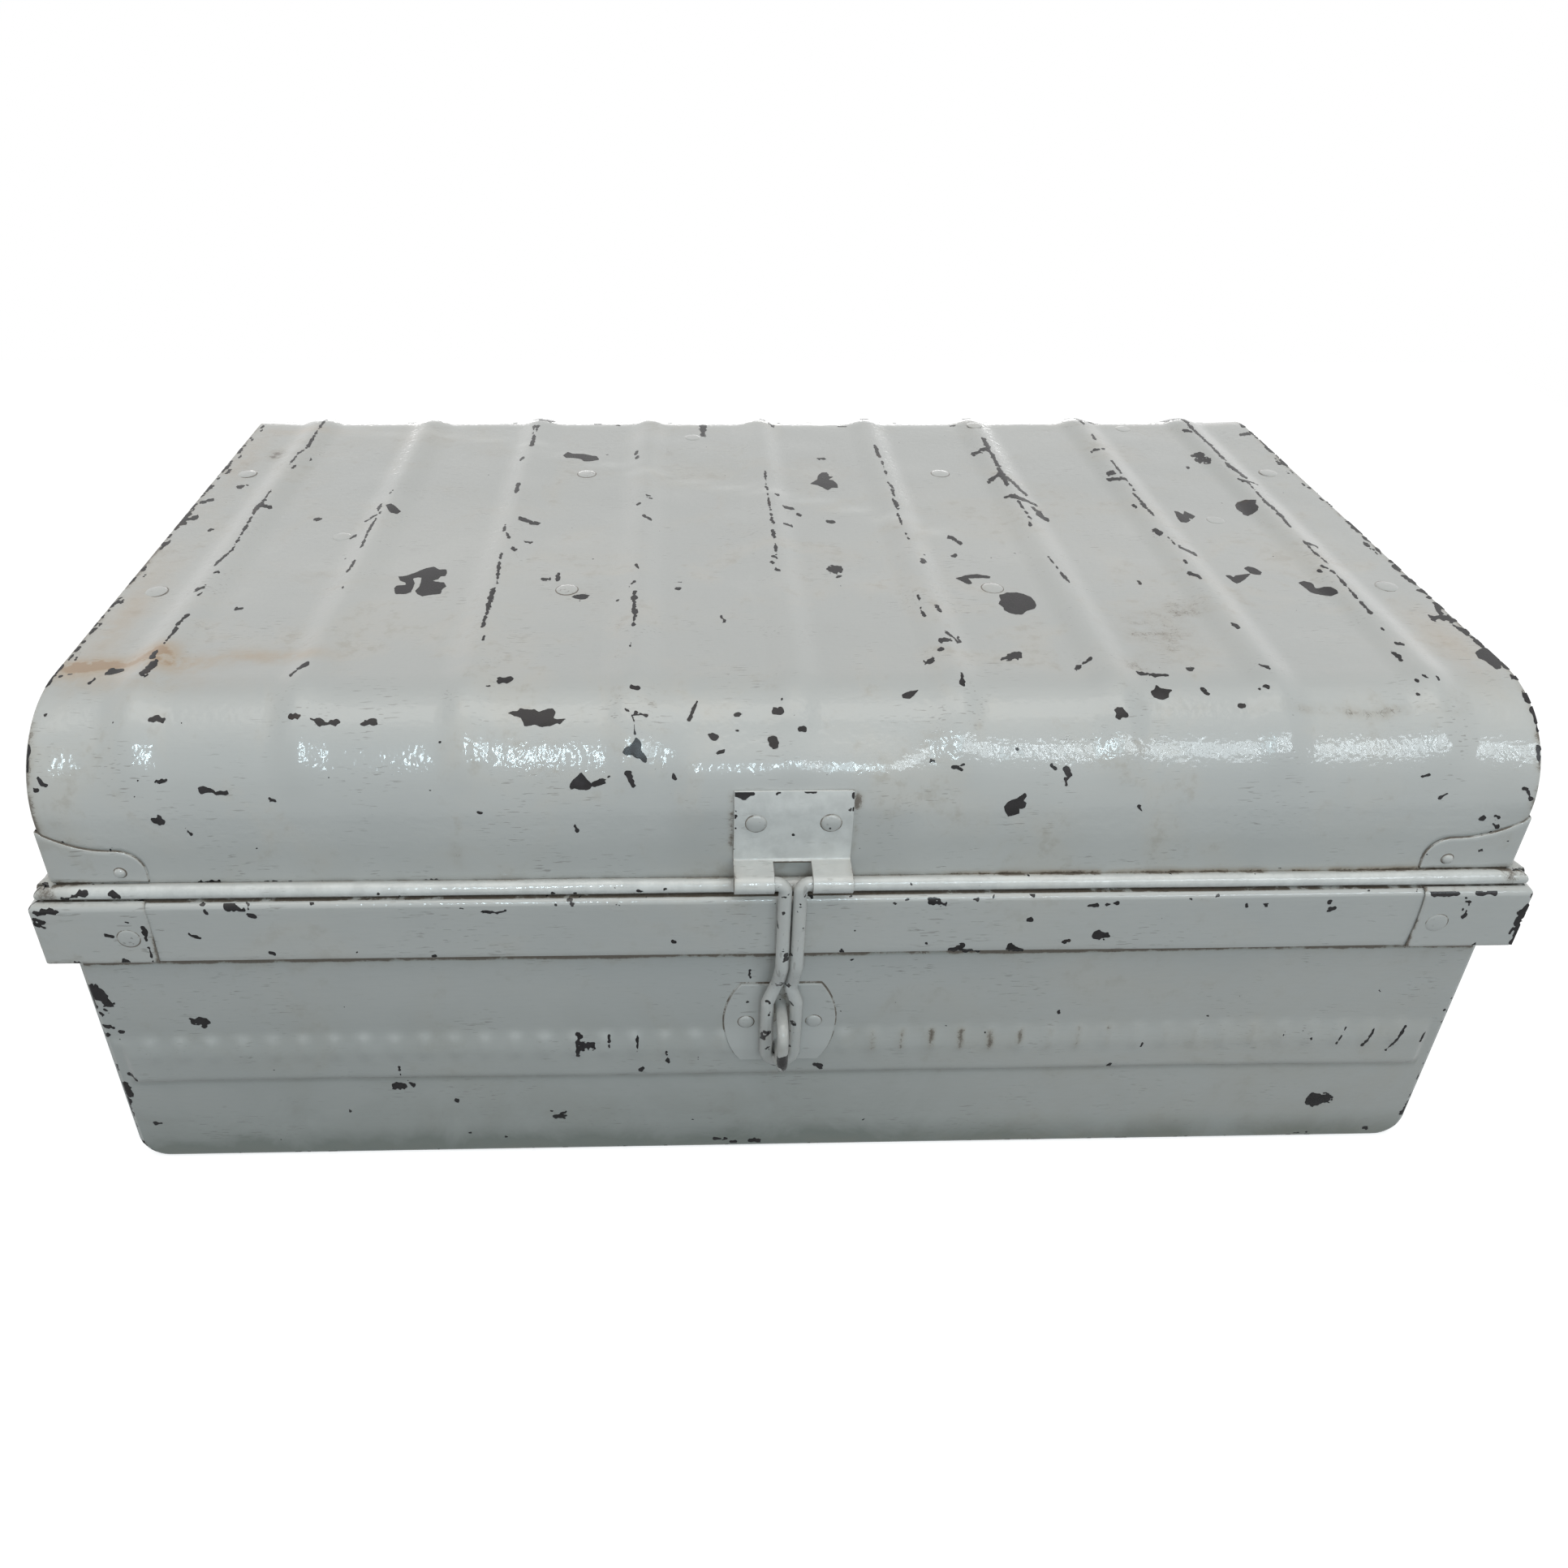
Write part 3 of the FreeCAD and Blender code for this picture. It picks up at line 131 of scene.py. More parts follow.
# Strokes of bare metal: x and second coordinate of both ends, half width, and stretch along the second one
# where it is not 1. That one is the length round the lid's sheet or along the hasp plate, elsewhere the height.
LID_CHIPS = [
    (-330, 493, -330, 456, 0.6, 2.8), (-330, 456, -329, 440, 0.7, 2.8), (-329, 437, -331, 424, 0.7, 2.7),
    (-332, 423, -333, 403, 0.7, 2.7), (-329, 400, -329, 397, 0.9, 2.6), (-333, 357, -333, 340, 0.6, 2.5),
    (-333, 339, -334, 325, 1.4, 2.5), (-334, 331, -326, 330, 0.7, 2.5), (-333, 319, -333, 307, 0.6, 2.4),
    (-333, 308, -332, 289, 0.6, 2.4), (-332, 283, -331, 267, 0.6, 2.3), (-331, 266, -335, 247, 0.8, 2.3),
    (-330, 237, -332, 236, 0.6, 2.2), (-332, 218, -335, 215, 1, 2.2), (-331, 210, -332, 208, 0.8, 2.1),
    (-330, 184, -332, 175, 0.6, 2.1), (-331, 169, -332, 154, 0.6, 2), (-333, 144, -333, 140, 1.1, 2),
    (-330, 132, -332, 124, 1.7, 1.9), (-330, 121, -330, 118, 0.6, 1.6), (-251, 358, -253, 353, 0.7, 2.5),
    (-256, 333, -255, 324, 0.9, 2.4), (-253, 320, -260, 313, 0.9, 2.4), (-254, 311, -255, 294, 0.7, 2.4),
    (-255, 290, -254, 272, 0.6, 2.3), (-254, 252, -254, 244, 0.6, 2.2), (-255, 239, -255, 238, 0.6, 2.2),
    (-253, 216, -253, 216, 0.6, 2.2), (-359, 369, -354, 373, 0.9, 2.6), (-375, 342, -370, 347, 1.3, 2.5),
    (-378, 315, -371, 319, 1.1, 2.4), (-378, 307, -374, 309, 0.6, 2.4), (-377, 403, -377, 409, 0.9, 2.6),
    (-294, 316, -291, 316, 0.6, 2.4), (-265, 288, -263, 291, 0.7, 2.3), (-357, 300, -355, 301, 0.6, 2.4),
    (-322, 415, -322, 415, 0.6, 2.7), (-319, 431, -319, 431, 0.6, 2.7), (-352, 130, -347, 130, 1.3, 1.9),
    (-358, 120, -357, 123, 0.6, 1.7), (-375, 124, -374, 125, 0.6, 1.9), (-257, 125, -252, 132, 1, 1.9),
    (-308, 197, -305, 197, 0.6, 2.1), (-170, 477, -169, 463, 0.6, 2.8), (-168, 445, -168, 440, 1, 2.7),
    (-172, 416, -173, 412, 0.8, 2.7), (-169, 367, -169, 358, 1.1, 2.5), (-162, 313, -153, 309, 0.7, 2.4),
    (-170, 302, -170, 290, 0.7, 2.3), (-168, 290, -165, 282, 0.6, 2.3), (-155, 281, -152, 281, 0.6, 2.3),
    (-161, 267, -160, 266, 0.9, 2.3), (-167, 259, -167, 253, 1, 2.2), (-167, 248, -165, 221, 0.7, 2.2),
    (-166, 212, -166, 187, 1.3, 2.1), (-166, 179, -166, 171, 0.6, 2), (-164, 160, -164, 155, 0.6, 2),
    (-151, 120, -146, 120, 0.9, 1.7), (-157, 114, -156, 114, 0.6, 1.4), (-321, 96, -316, 96, 1.4, 1.1),
    (-306, 95, -306, 94, 0.7, 1.1), (-252, 96, -248, 96, 0.8, 1.1), (-242, 95, -237, 94, 1, 1.1),
    (-237, 93, -230, 94, 1.2, 1.1), (-216, 93, -211, 94, 1.3, 1.1), (-373, 98, -373, 98, 0.7, 1.1),
    (-167, 493, -156, 495, 0.8, 2.9), (-167, 477, -167, 467, 0.8, 2.8), (-168, 456, -167, 440, 0.9, 2.7),
    (-172, 415, -172, 414, 0.8, 2.7), (-169, 367, -169, 358, 1.1, 2.5), (-162, 312, -150, 309, 0.7, 2.4),
    (-42, 484, -42, 471, 2.3, 2.8), (-91, 429, -91, 426, 1, 2.7), (-91, 416, -89, 416, 0.6, 2.6),
    (-81, 348, -78, 346, 0.6, 2.5), (-87, 333, -85, 335, 0.6, 2.4), (-83, 315, -78, 311, 0.6, 2.4),
    (-85, 245, -84, 241, 0.6, 2.2), (-85, 223, -88, 218, 0.6, 2.2), (-85, 209, -85, 202, 0.8, 2.1),
    (-85, 202, -84, 186, 1.2, 2.1), (-84, 182, -84, 171, 0.6, 2), (-85, 150, -85, 149, 0.6, 2),
    (-131, 238, -131, 233, 1.2, 2.2), (-140, 232, -135, 231, 0.6, 2.2), (-119, 209, -113, 209, 1.3, 2.1),
    (-121, 209, -118, 209, 0.6, 2.1), (-95, 204, -94, 204, 0.6, 2.1), (-36, 185, -34, 181, 0.9, 2.1),
    (-61, 220, -59, 219, 0.6, 2.1), (40, 421, 45, 420, 0.6, 2.6), (10, 332, 16, 332, 0.8, 2.4),
    (18, 324, 20, 321, 0.8, 2.4), (8, 305, 13, 304, 0.6, 2.4), (5, 350, 7, 349, 0.6, 2.5),
    (37, 312, 40, 311, 1.3, 2.4), (32, 244, 37, 243, 1.6, 2.2), (30, 243, 32, 243, 0.6, 2.2),
    (33, 235, 36, 234, 0.6, 2.2), (2, 496, 6, 496, 0.9, 2.8), (9, 489, 12, 484, 0.7, 2.8),
    (0, 387, 0, 367, 0.6, 2.5), (-1, 362, 0, 357, 0.7, 2.5), (0, 351, 0, 317, 0.6, 2.4),
    (0, 309, 1, 302, 1, 2.4), (0, 290, 0, 283, 1.1, 2.3), (0, 273, 0, 257, 0.6, 2.3),
    (-3, 255, 0, 252, 0.6, 2.2), (-4, 248, -3, 246, 0.6, 2.2), (-2, 239, 1, 236, 0.6, 2.2),
    (82, 496, 86, 496, 0.9, 2.8), (84, 435, 84, 417, 1, 2.7), (85, 405, 85, 382, 0.6, 2.6),
    (84, 369, 86, 361, 0.6, 2.5), (85, 354, 85, 347, 1, 2.5), (84, 337, 84, 328, 1.5, 2.4),
    (83, 317, 83, 300, 0.6, 2.4), (84, 286, 84, 280, 0.6, 2.3), (89, 251, 87, 246, 1.1, 2.2),
    (91, 259, 93, 259, 0.6, 2.2), (78, 204, 78, 200, 0.7, 2.1), (77, 188, 78, 180, 0.7, 2),
    (87, 190, 88, 184, 0.9, 2.1), (87, 161, 92, 153, 0.7, 2), (93, 160, 93, 154, 0.6, 2),
    (82, 152, 87, 153, 1, 2), (79, 142, 81, 143, 0.6, 1.9), (71, 133, 75, 135, 1.3, 1.9),
    (87, 118, 86, 112, 0.8, 1.4), (112, 289, 117, 281, 1.4, 2.3), (109, 261, 111, 262, 0.6, 2.2),
    (167, 450, 167, 435, 1.1, 2.7), (167, 435, 165, 366, 1, 2.6), (155, 426, 167, 434, 0.6, 2.7),
    (155, 374, 166, 385, 0.6, 2.5), (162, 502, 168, 502, 0.9, 2.8), (-151, 120, -145, 121, 0.9, 1.7),
    (-83, 111, -80, 111, 0.7, 1.4), (-86, 99, -84, 97, 0.6, 1.1), (-83, 95, -81, 97, 0.6, 1.1),
    (-81, 97, -75, 96, 0.6, 1.1), (-82, 94, -81, 85, 0.6, 1), (-30, 97, -26, 97, 0.9, 1.1),
    (-11, 98, -8, 98, 1.4, 1.1), (-12, 83, -11, 80, 1.7, 1), (3, 88, 4, 87, 0.6, 1), (-30, 88, -30, 88, 0.6, 1),
    (-7, 104, -7, 104, 0.6, 1.2), (-50, 104, -54, 94, 0.6, 1.1), (167, 449, 167, 408, 1.1, 2.7),
    (167, 408, 167, 370, 1.1, 2.6), (155, 427, 165, 429, 0.6, 2.7), (157, 376, 165, 383, 0.6, 2.5),
    (169, 376, 176, 352, 1.2, 2.5), (160, 345, 167, 346, 0.8, 2.5), (167, 345, 179, 337, 0.9, 2.4),
    (176, 330, 179, 324, 1.3, 2.4), (177, 322, 181, 314, 1.4, 2.4), (167, 336, 169, 309, 0.6, 2.4),
    (167, 303, 166, 299, 0.6, 2.3), (161, 282, 161, 281, 0.6, 2.3), (166, 252, 168, 234, 0.6, 2.2),
    (168, 230, 170, 220, 0.8, 2.1), (113, 138, 122, 142, 1.6, 1.9), (149, 127, 159, 135, 0.7, 1.9),
    (87, 119, 86, 113, 0.8, 1.5), (181, 122, 189, 121, 0.7, 1.7), (189, 121, 198, 121, 0.6, 1.7),
    (208, 126, 212, 127, 0.6, 1.9), (211, 109, 213, 107, 0.9, 1.3), (228, 100, 230, 100, 0.9, 1.1),
    (163, 96, 167, 94, 1.3, 1.1), (164, 93, 166, 96, 1.2, 1.1), (239, 109, 240, 109, 0.6, 1.3),
    (243, 110, 244, 109, 0.8, 1.3), (246, 125, 249, 122, 0.8, 1.8), (248, 146, 249, 146, 0.7, 1.9),
    (247, 170, 249, 165, 1, 2), (243, 186, 243, 185, 0.6, 2), (251, 502, 251, 482, 1.1, 2.8),
    (259, 492, 267, 492, 0.6, 2.8), (252, 459, 251, 451, 0.7, 2.7), (242, 427, 252, 431, 0.6, 2.7),
    (251, 405, 251, 386, 0.7, 2.6), (242, 386, 246, 386, 0.8, 2.5), (240, 377, 251, 373, 0.8, 2.5),
    (251, 369, 251, 355, 0.6, 2.5), (249, 347, 250, 332, 1.2, 2.4), (249, 331, 251, 315, 0.8, 2.4),
    (243, 330, 243, 329, 0.8, 2.4), (245, 291, 246, 286, 1.4, 2.3), (249, 279, 250, 271, 0.6, 2.3),
    (252, 266, 259, 260, 1, 2.2), (248, 246, 248, 245, 0.6, 2.2), (245, 231, 249, 225, 0.7, 2.1),
    (214, 224, 214, 223, 0.8, 2.1), (321, 504, 329, 502, 1.8, 2.8), (332, 509, 344, 511, 0.9, 2.8),
    (334, 504, 333, 476, 1.5, 2.8), (333, 476, 334, 439, 1.3, 2.7), (334, 439, 334, 409, 1.1, 2.6),
    (326, 470, 330, 468, 0.7, 2.7), (316, 424, 323, 423, 1.3, 2.6), (317, 415, 324, 412, 1.4, 2.6),
    (306, 403, 305, 401, 0.6, 2.6), (333, 400, 337, 378, 1.5, 2.5), (331, 372, 336, 368, 0.8, 2.5),
    (339, 370, 342, 368, 0.7, 2.5), (335, 366, 334, 338, 0.6, 2.5), (334, 335, 335, 314, 1.2, 2.4),
    (335, 314, 334, 298, 1, 2.3), (325, 314, 325, 314, 0.8, 2.4), (333, 275, 333, 258, 0.6, 2.2),
    (333, 258, 335, 243, 0.7, 2.2), (335, 270, 339, 268, 0.9, 2.2), (326, 234, 326, 233, 0.7, 2.2),
    (330, 238, 333, 231, 0.8, 2.2), (333, 231, 331, 192, 0.7, 2.1), (331, 192, 331, 181, 1, 2),
    (329, 163, 329, 162, 0.6, 2), (329, 146, 332, 144, 0.8, 1.9), (324, 138, 324, 131, 0.9, 1.9),
    (322, 125, 322, 125, 0.6, 1.9), (324, 114, 324, 113, 0.6, 1.4), (328, 116, 330, 114, 0.7, 1.4),
    (334, 116, 335, 113, 0.6, 1.4), (322, 105, 322, 105, 0.6, 1.2), (368, 465, 375, 468, 0.9, 2.7),
    (378, 475, 379, 443, 0.6, 2.7), (378, 441, 380, 411, 0.6, 2.6), (380, 392, 381, 390, 0.7, 2.5),
    (381, 357, 381, 339, 1.1, 2.4), (378, 309, 379, 291, 1.1, 2.3), (378, 249, 380, 241, 1.3, 2.2),
    (376, 212, 378, 211, 0.7, 2.1), (367, 179, 378, 178, 1.3, 2), (377, 196, 374, 183, 1.1, 2),
    (374, 171, 378, 153, 1.4, 2), (377, 116, 379, 116, 0.9, 1.5), (-373, 66, -370, 62, 1, 1),
    (-375, 60, -374, 60, 0.7, 1.1), (-318, 63, -313, 64, 1.1, 1), (-263, 53, -260, 52, 0.6, 1.1),
    (-321, 41, -317, 40, 1.3, 1.3), (-318, 43, -317, 41, 0.8, 1.3), (-306, 36, -304, 33, 0.7, 1.3),
    (-160, 44, -158, 44, 0.7, 1.2), (-306, 3, -295, 3, 0.8, 1.3), (-275, 2, -264, 2, 0.6, 1.3),
    (-260, 2, -259, 2, 0.6, 1.3), (-247, 2, -242, 2, 0.6, 1.3), (-190, 2, -185, 2, 0.6, 1.3),
    (-370, 29, -367, 29, 0.7, 1.3), (-178, 83, -176, 83, 0.6, 1), (-326, 64, -326, 64, 0.6, 1),
    (-101, 60, -97, 61, 1.2, 1), (-96, 62, -94, 64, 0.6, 1), (-85, 65, -82, 59, 1.2, 1),
    (-85, 66, -84, 66, 0.7, 1), (-62, 66, -61, 62, 0.6, 1), (-12, 83, -11, 79, 1.4, 1), (2, 88, 4, 88, 0.6, 1),
    (-30, 88, -30, 88, 0.6, 1), (78, 67, 84, 69, 0.6, 1), (79, 68, 83, 66, 0.6, 1), (112, 77, 112, 77, 0.6, 1),
    (-112, 35, -111, 33, 0.6, 1.3), (136, 66, 138, 62, 1.2, 1), (136, 61, 137, 57, 0.6, 1),
    (129, 68, 131, 66, 0.6, 1), (111, 77, 111, 77, 0.6, 1), (163, 94, 167, 93, 0.9, 1.1),
    (320, 60, 323, 61, 0.6, 1), (331, 48, 334, 50, 0.6, 1.1), (371, 54, 373, 54, 0.6, 1.1),
    (374, 52, 376, 48, 0.9, 1.1), (355, 35, 356, 35, 0.9, 1.2), (362, 32, 365, 30, 1, 1.2),
    (362, 37, 364, 36, 0.6, 1.2), (358, 24, 363, 25, 0.8, 1.3), (175, 44, 177, 41, 0.6, 1.2)]
BAND_CHIPS = [
    (-291, 205, -282, 203, 1.3, 1.3), (-302, 202, -301, 201, 0.6, 1.3), (-281, 200, -277, 198, 0.9, 1.3),
    (-312, 186, -308, 184, 0.9, 1.4), (-274, 173, -272, 172, 0.7, 1.4), (-154, 199, -149, 200, 0.7, 1.3),
    (-161, 200, -154, 199, 0.6, 1.3), (-346, 197, -341, 196, 0.6, 1.4), (-355, 188, -352, 187, 0.9, 1.4),
    (-350, 170, -348, 169, 0.8, 1.4), (-335, 193, -334, 191, 0.9, 1.4), (-335, 191, -335, 184, 0.6, 1.4),
    (-335, 178, -335, 169, 0.6, 1.4), (-361, 208, -354, 208, 0.8, 1.3), (-286, 210, -278, 209, 0.6, 1.3),
    (-190, 169, -188, 169, 0.6, 1.4), (-248, 206, -247, 206, 0.6, 1.3), (-389, 199, -384, 197, 0.7, 1.4),
    (-375, 169, -373, 168, 0.6, 1.4), (71, 203, 79, 201, 1.2, 1.3), (72, 201, 76, 200, 0.7, 1.3),
    (85, 169, 91, 172, 1.4, 1.3), (91, 169, 102, 167, 0.6, 1.3), (116, 171, 125, 167, 0.6, 1.3),
    (71, 174, 72, 173, 0.7, 1.3), (124, 190, 126, 190, 0.6, 1.3), (122, 206, 125, 206, 0.6, 1.3),
    (-63, 178, -62, 177, 0.6, 1.4), (-35, 168, -31, 167, 0.6, 1.4), (26, 169, 27, 169, 0.6, 1.4),
    (115, 169, 123, 168, 0.6, 1.3), (116, 172, 120, 169, 0.8, 1.3), (123, 206, 125, 207, 0.6, 1.3),
    (124, 190, 125, 190, 0.8, 1.3), (145, 174, 148, 175, 0.7, 1.3), (162, 178, 167, 178, 1.8, 1.3),
    (163, 180, 166, 176, 1.2, 1.3), (154, 199, 159, 199, 0.6, 1.3), (164, 200, 169, 201, 0.6, 1.3),
    (238, 199, 239, 198, 0.6, 1.3), (247, 199, 249, 198, 0.6, 1.3), (284, 194, 286, 195, 0.9, 1.3),
    (282, 200, 283, 200, 0.6, 1.3), (195, 190, 195, 190, 0.6, 1.3), (332, 208, 342, 207, 0.8, 1.3),
    (351, 208, 362, 207, 0.9, 1.3), (354, 203, 355, 200, 0.7, 1.3), (357, 190, 358, 190, 0.6, 1.3),
    (355, 195, 355, 194, 0.6, 1.3), (369, 169, 370, 169, 0.6, 1.3), (387, 192, 390, 178, 1.8, 1.3),
    (387, 180, 386, 177, 1, 1.3), (390, 173, 390, 166, 0.6, 1.3)]
BEAD_CHIPS = [
    (-348, 212, -344, 210, 1, 1.3), (-365, 212, -360, 212, 0.6, 1.3), (-373, 209, -366, 211, 0.6, 1.3),
    (-204, 208, -203, 208, 0.6, 1.3), (-288, 207, -284, 206, 0.6, 1.3), (-81, 210, -78, 210, 0.6, 1.3),
    (-67, 211, -66, 211, 0.6, 1.3), (-125, 209, -124, 209, 0.6, 1.3), (-113, 209, -113, 209, 0.6, 1.3)]
BODY_CHIPS = [
    (-381, 140, -379, 126, 1.3, 1.4), (-378, 121, -377, 120, 0.9, 1.4), (-381, 105, -378, 104, 0.9, 1.4),
    (-372, 101, -371, 100, 0.6, 1.4), (-329, 114, -322, 113, 1.6, 1.4), (-326, 115, -324, 111, 1, 1.4),
    (-373, 73, -369, 69, 0.7, 1.5), (-379, 50, -380, 40, 0.9, 1.5), (-381, 30, -380, 28, 0.7, 1.5),
    (-368, 30, -364, 30, 0.6, 1.5), (-225, 59, -220, 58, 1.4, 1.5), (-216, 61, -214, 58, 0.8, 1.5),
    (-220, 78, -220, 71, 0.6, 1.5), (-134, 31, -129, 31, 1.1, 1.5), (-131, 33, -128, 34, 0.6, 1.5),
    (-191, 45, -190, 45, 0.6, 1.5), (-115, 92, -110, 92, 1.9, 1.4), (-118, 100, -116, 98, 0.9, 1.4),
    (-118, 95, -118, 85, 0.9, 1.4), (-100, 99, -100, 91, 0.7, 1.4), (-84, 99, -84, 88, 0.6, 1.4),
    (-68, 86, -67, 79, 0.7, 1.4), (-50, 81, -50, 80, 0.6, 1.4), (-83, 72, -81, 74, 0.6, 1.5),
    (-40, 8, -33, 8, 0.6, 1.5), (-19, 6, -13, 5, 0.7, 1.5), (-187, 17, -185, 17, 0.6, 1.5),
    (-165, 13, -164, 13, 0.6, 1.5), (-380, 15, -378, 13, 0.6, 1.5), (-22, 147, -21, 142, 0.7, 1.4),
    (17, 74, 21, 73, 1.6, 1.4), (154, 112, 154, 111, 0.6, 1.4), (189, 69, 191, 71, 0.9, 1.4),
    (205, 84, 206, 87, 0.6, 1.4), (318, 35, 328, 36, 2.8, 1.5), (321, 30, 325, 33, 1.6, 1.5),
    (312, 3, 318, 4, 0.6, 1.5), (358, 8, 360, 7, 0.6, 1.5), (381, 16, 381, 28, 0.9, 1.5),
    (-19, 6, -14, 5, 0.8, 1.5), (-30, 5, -27, 5, 0.6, 1.5), (34, 154, 35, 154, 0.6, 1.4),
    (377, 109, 380, 107, 0.6, 1.4), (88, 160, 103, 159, 0.7, 1.3), (120, 160, 127, 159, 0.7, 1.3)]
BODY_EDGE = [
    (-377, 140, -372, 128, 3.0), (-375, 124, -373.5, 123, 1.3), (-377, 111, -373, 110, 1.1),
    (-370, 107, -369, 106, 0.8), (-378, 64, -376, 55, 2.2), (-378.5, 51, -378, 49, 1.2),
    (379, 30, 378, 21, 1.3), (287.5, 95, 286.5, 91, 0.35),
    (304.5, 94.5, 303.5, 89, 0.35), (322.5, 97, 319, 85.5, 0.5), (339.5, 97, 335, 83, 0.55),
    (357, 97, 350.5, 79, 0.55), (371, 95, 368.5, 85, 0.4)]
CAP_EDGE = [
    (335.5, 204.8, 349, 204.8, 1.1), (360, 204.6, 369, 204.8, 1.1), (357, 199, 357.5, 197, 0.9),
    (357, 194, 357, 188, 0.4), (370, 170.5, 371, 170.5, 0.6), (389, 196, 387, 184, 1.4),
    (389.8, 176, 389.6, 170, 0.8), (-386, 203, -376, 204, 1.8), (-389, 196, -384, 193, 1.2)]
HASP_CHIPS = [
    (-30.5, 1.0, -25.5, 1.6, 1.7), (-26, 1.4, -22.5, 0.8, 1.1), (-10, 0.6, -8.6, 0.5, 0.8),
    (-31, 13, -31, 14.5, 0.7), (-31, 20, -31, 21, 0.4), (28.2, 0.8, 28.2, 3.5, 0.8),
    (28.3, 8, 28.3, 13, 0.5), (4, 0.4, 9, 0.3, 0.3), (-2, 25, -1, 25.4, 0.4)]

# Stains on the lid: middle, half sizes and strength. The pale, rubbed places are all of one strength.
RUST = [
    (-372, 132, 12, 8, 0.7), (-352, 137, 18, 7, 0.9), (-332, 147, 10, 9, 0.9), (-316, 136, 16, 7, 0.8),
    (-290, 146, 20, 6, 0.55), (-262, 143, 18, 6, 0.45), (-338, 120, 40, 8, 0.3), (-366, 190, 10, 60, 0.35),
    (-369, 420, 10, 60, 0.25), (-340, 474, 30, 8, 0.3), (362, 150, 12, 40, 0.25)]
DIRT = [
    (180, 100, 10, 3, 0.45), (206, 98, 18, 2.5, 0.4), (236, 97, 20, 2.5, 0.45), (268, 97, 22, 3, 0.55),
    (296, 94, 14, 4, 0.6), (318, 97, 16, 3, 0.5), (246, 101, 40, 2, 0.3),
    (338, 99, 10, 8, 0.5), (205, 165, 30, 34, 0.55), (232, 192, 16, 12, 0.5), (182, 130, 16, 10, 0.5),
    (-350, 427, 9, 10, 0.9), (-366, 404, 9, 14, 0.5), (-219, 225, 30, 14, 0.35), (-278, 235, 22, 12, 0.35),
    (-124, 224, 40, 16, 0.3), (13, 165, 40, 24, 0.25), (86, 289, 20, 20, 0.35), (150, 240, 26, 40, 0.25),
    (-33, 48, 2.2, 9, 1.1), (30.5, 51, 3.0, 5, 1.3), (-33, 28, 2.2, 12, 0.8), (30, 30, 2.2, 14, 0.8),
    (-173, 18, 5, 12, 0.5), (300, 52, 50, 14, 0.2), (-300, 60, 60, 16, 0.15)]
PALE = [
    (-279, 470, 16, 6), (-240, 466, 22, 5), (-203, 458, 20, 5), (-170, 444, 18, 6), (-140, 428, 18, 6),
    (-110, 409, 16, 6), (-81, 391, 18, 6), (-52, 378, 16, 5), (-25, 367, 18, 5), (2, 356, 16, 5),
    (29, 345, 16, 5), (55, 330, 16, 6), (79, 313, 14, 6), (103, 296, 12, 6)]
PALE_STRENGTH = 0.6


def smooth(t):
    """Eases from 0 to 1."""
    t = np.clip(t, 0.0, 1.0)
    return t * t * (3 - 2 * t)


def bell(gap, width):
    """1 on a line, fading to both sides of it."""
    return np.exp(-(gap / width) ** 2)


def steps(low, high, step):
    return np.linspace(low, high, max(2, int(round((high - low) / step)) + 1))


def quarter(count):
    return np.linspace(0, math.pi / 2, count)


def stack(*parts):
    """Points from their x, y and z."""
    return np.stack(np.broadcast_arrays(*parts), axis=-1)


def between(rows, first, middle, last):
    """A run of values with as many equal ones as there are rows before and after it."""
    return np.concatenate([np.full(rows.shape, first), middle, np.full(rows.shape, last)])


def rounded(half, level, radius, up, count, step):
    """Columns and heights of an outline that is flat in the middle and rounded to both sides."""
    turn = quarter(count)
    x, z = half + radius * np.sin(turn), level + up * radius * np.cos(turn)
    flat = steps(-half, half, step)[1:-1]
    return np.concatenate([-x[::-1], flat, x]), np.concatenate([z[::-1], np.full(flat.shape, z[0]), z])


def hem(across, height, out, up, radius, tail):
    """A lap turned in round an outline: its place across and up, and how far back it lies."""
    sweep = quarter(6)
    away = np.concatenate([radius * np.sin(sweep), [radius] * len(tail)])
    back = np.concatenate([radius * (1 - np.cos(sweep)), tail])
    return across[:, None] + out[:, None] * away, height[:, None] + up[:, None] * away, back


def waves(a, b, seed, length, count=9):
    """Gentle unevenness of hand worked sheet, about -1 to 1."""
    draw = random.Random(seed)
    total = 0.0
    for _ in range(count):
        turn = draw.uniform(0, 2 * math.pi)
        pitch = length * draw.uniform(0.7, 1.7)
        shift = draw.uniform(0, 2 * math.pi)
        total = total + np.sin(2 * math.pi * (a * math.cos(turn) + b * math.sin(turn)) / pitch + shift)
    return total / (0.55 * count)


def speckle(shape, cell, seed):
    """Smooth random field from -1 to 1 on a lattice, with features about cell steps wide."""
    draw = np.random.RandomState(seed)
    small = draw.uniform(-1, 1, (int(shape[0] / cell) + 3, int(shape[1] / cell) + 3))
    u, v = np.arange(shape[0]) / cell, np.arange(shape[1]) / cell
    i, j = u.astype(int), v.astype(int)
    fu, fv = smooth(u - i)[:, None], smooth(v - j)[None, :]
    i, j = i[:, None], j[None, :]
    low = small[i, j] * (1 - fu) + small[i + 1, j] * fu
    high = small[i, j + 1] * (1 - fu) + small[i + 1, j + 1] * fu
    return low * (1 - fv) + high * fv


def spots(x, s, blobs):
    """Soft patches: middle, half sizes and strength of each."""
    total = 0.0
    for bx, bs, rx, rs, strength in blobs:
        total = total + strength * np.exp(-((x - bx) / rx) ** 2 - ((s - bs) / rs) ** 2)
    return total


def quads_of(index, keep, flip):
    """Faces between neighbours on a lattice, all of them or those to keep."""
    quads = np.stack([index[:-1, :-1], index[1:, :-1], index[1:, 1:], index[:-1, 1:]], axis=-1)
    quads = quads.reshape(-1, 4) if keep is None else quads[keep]
    return quads[:, ::-1] if flip else quads


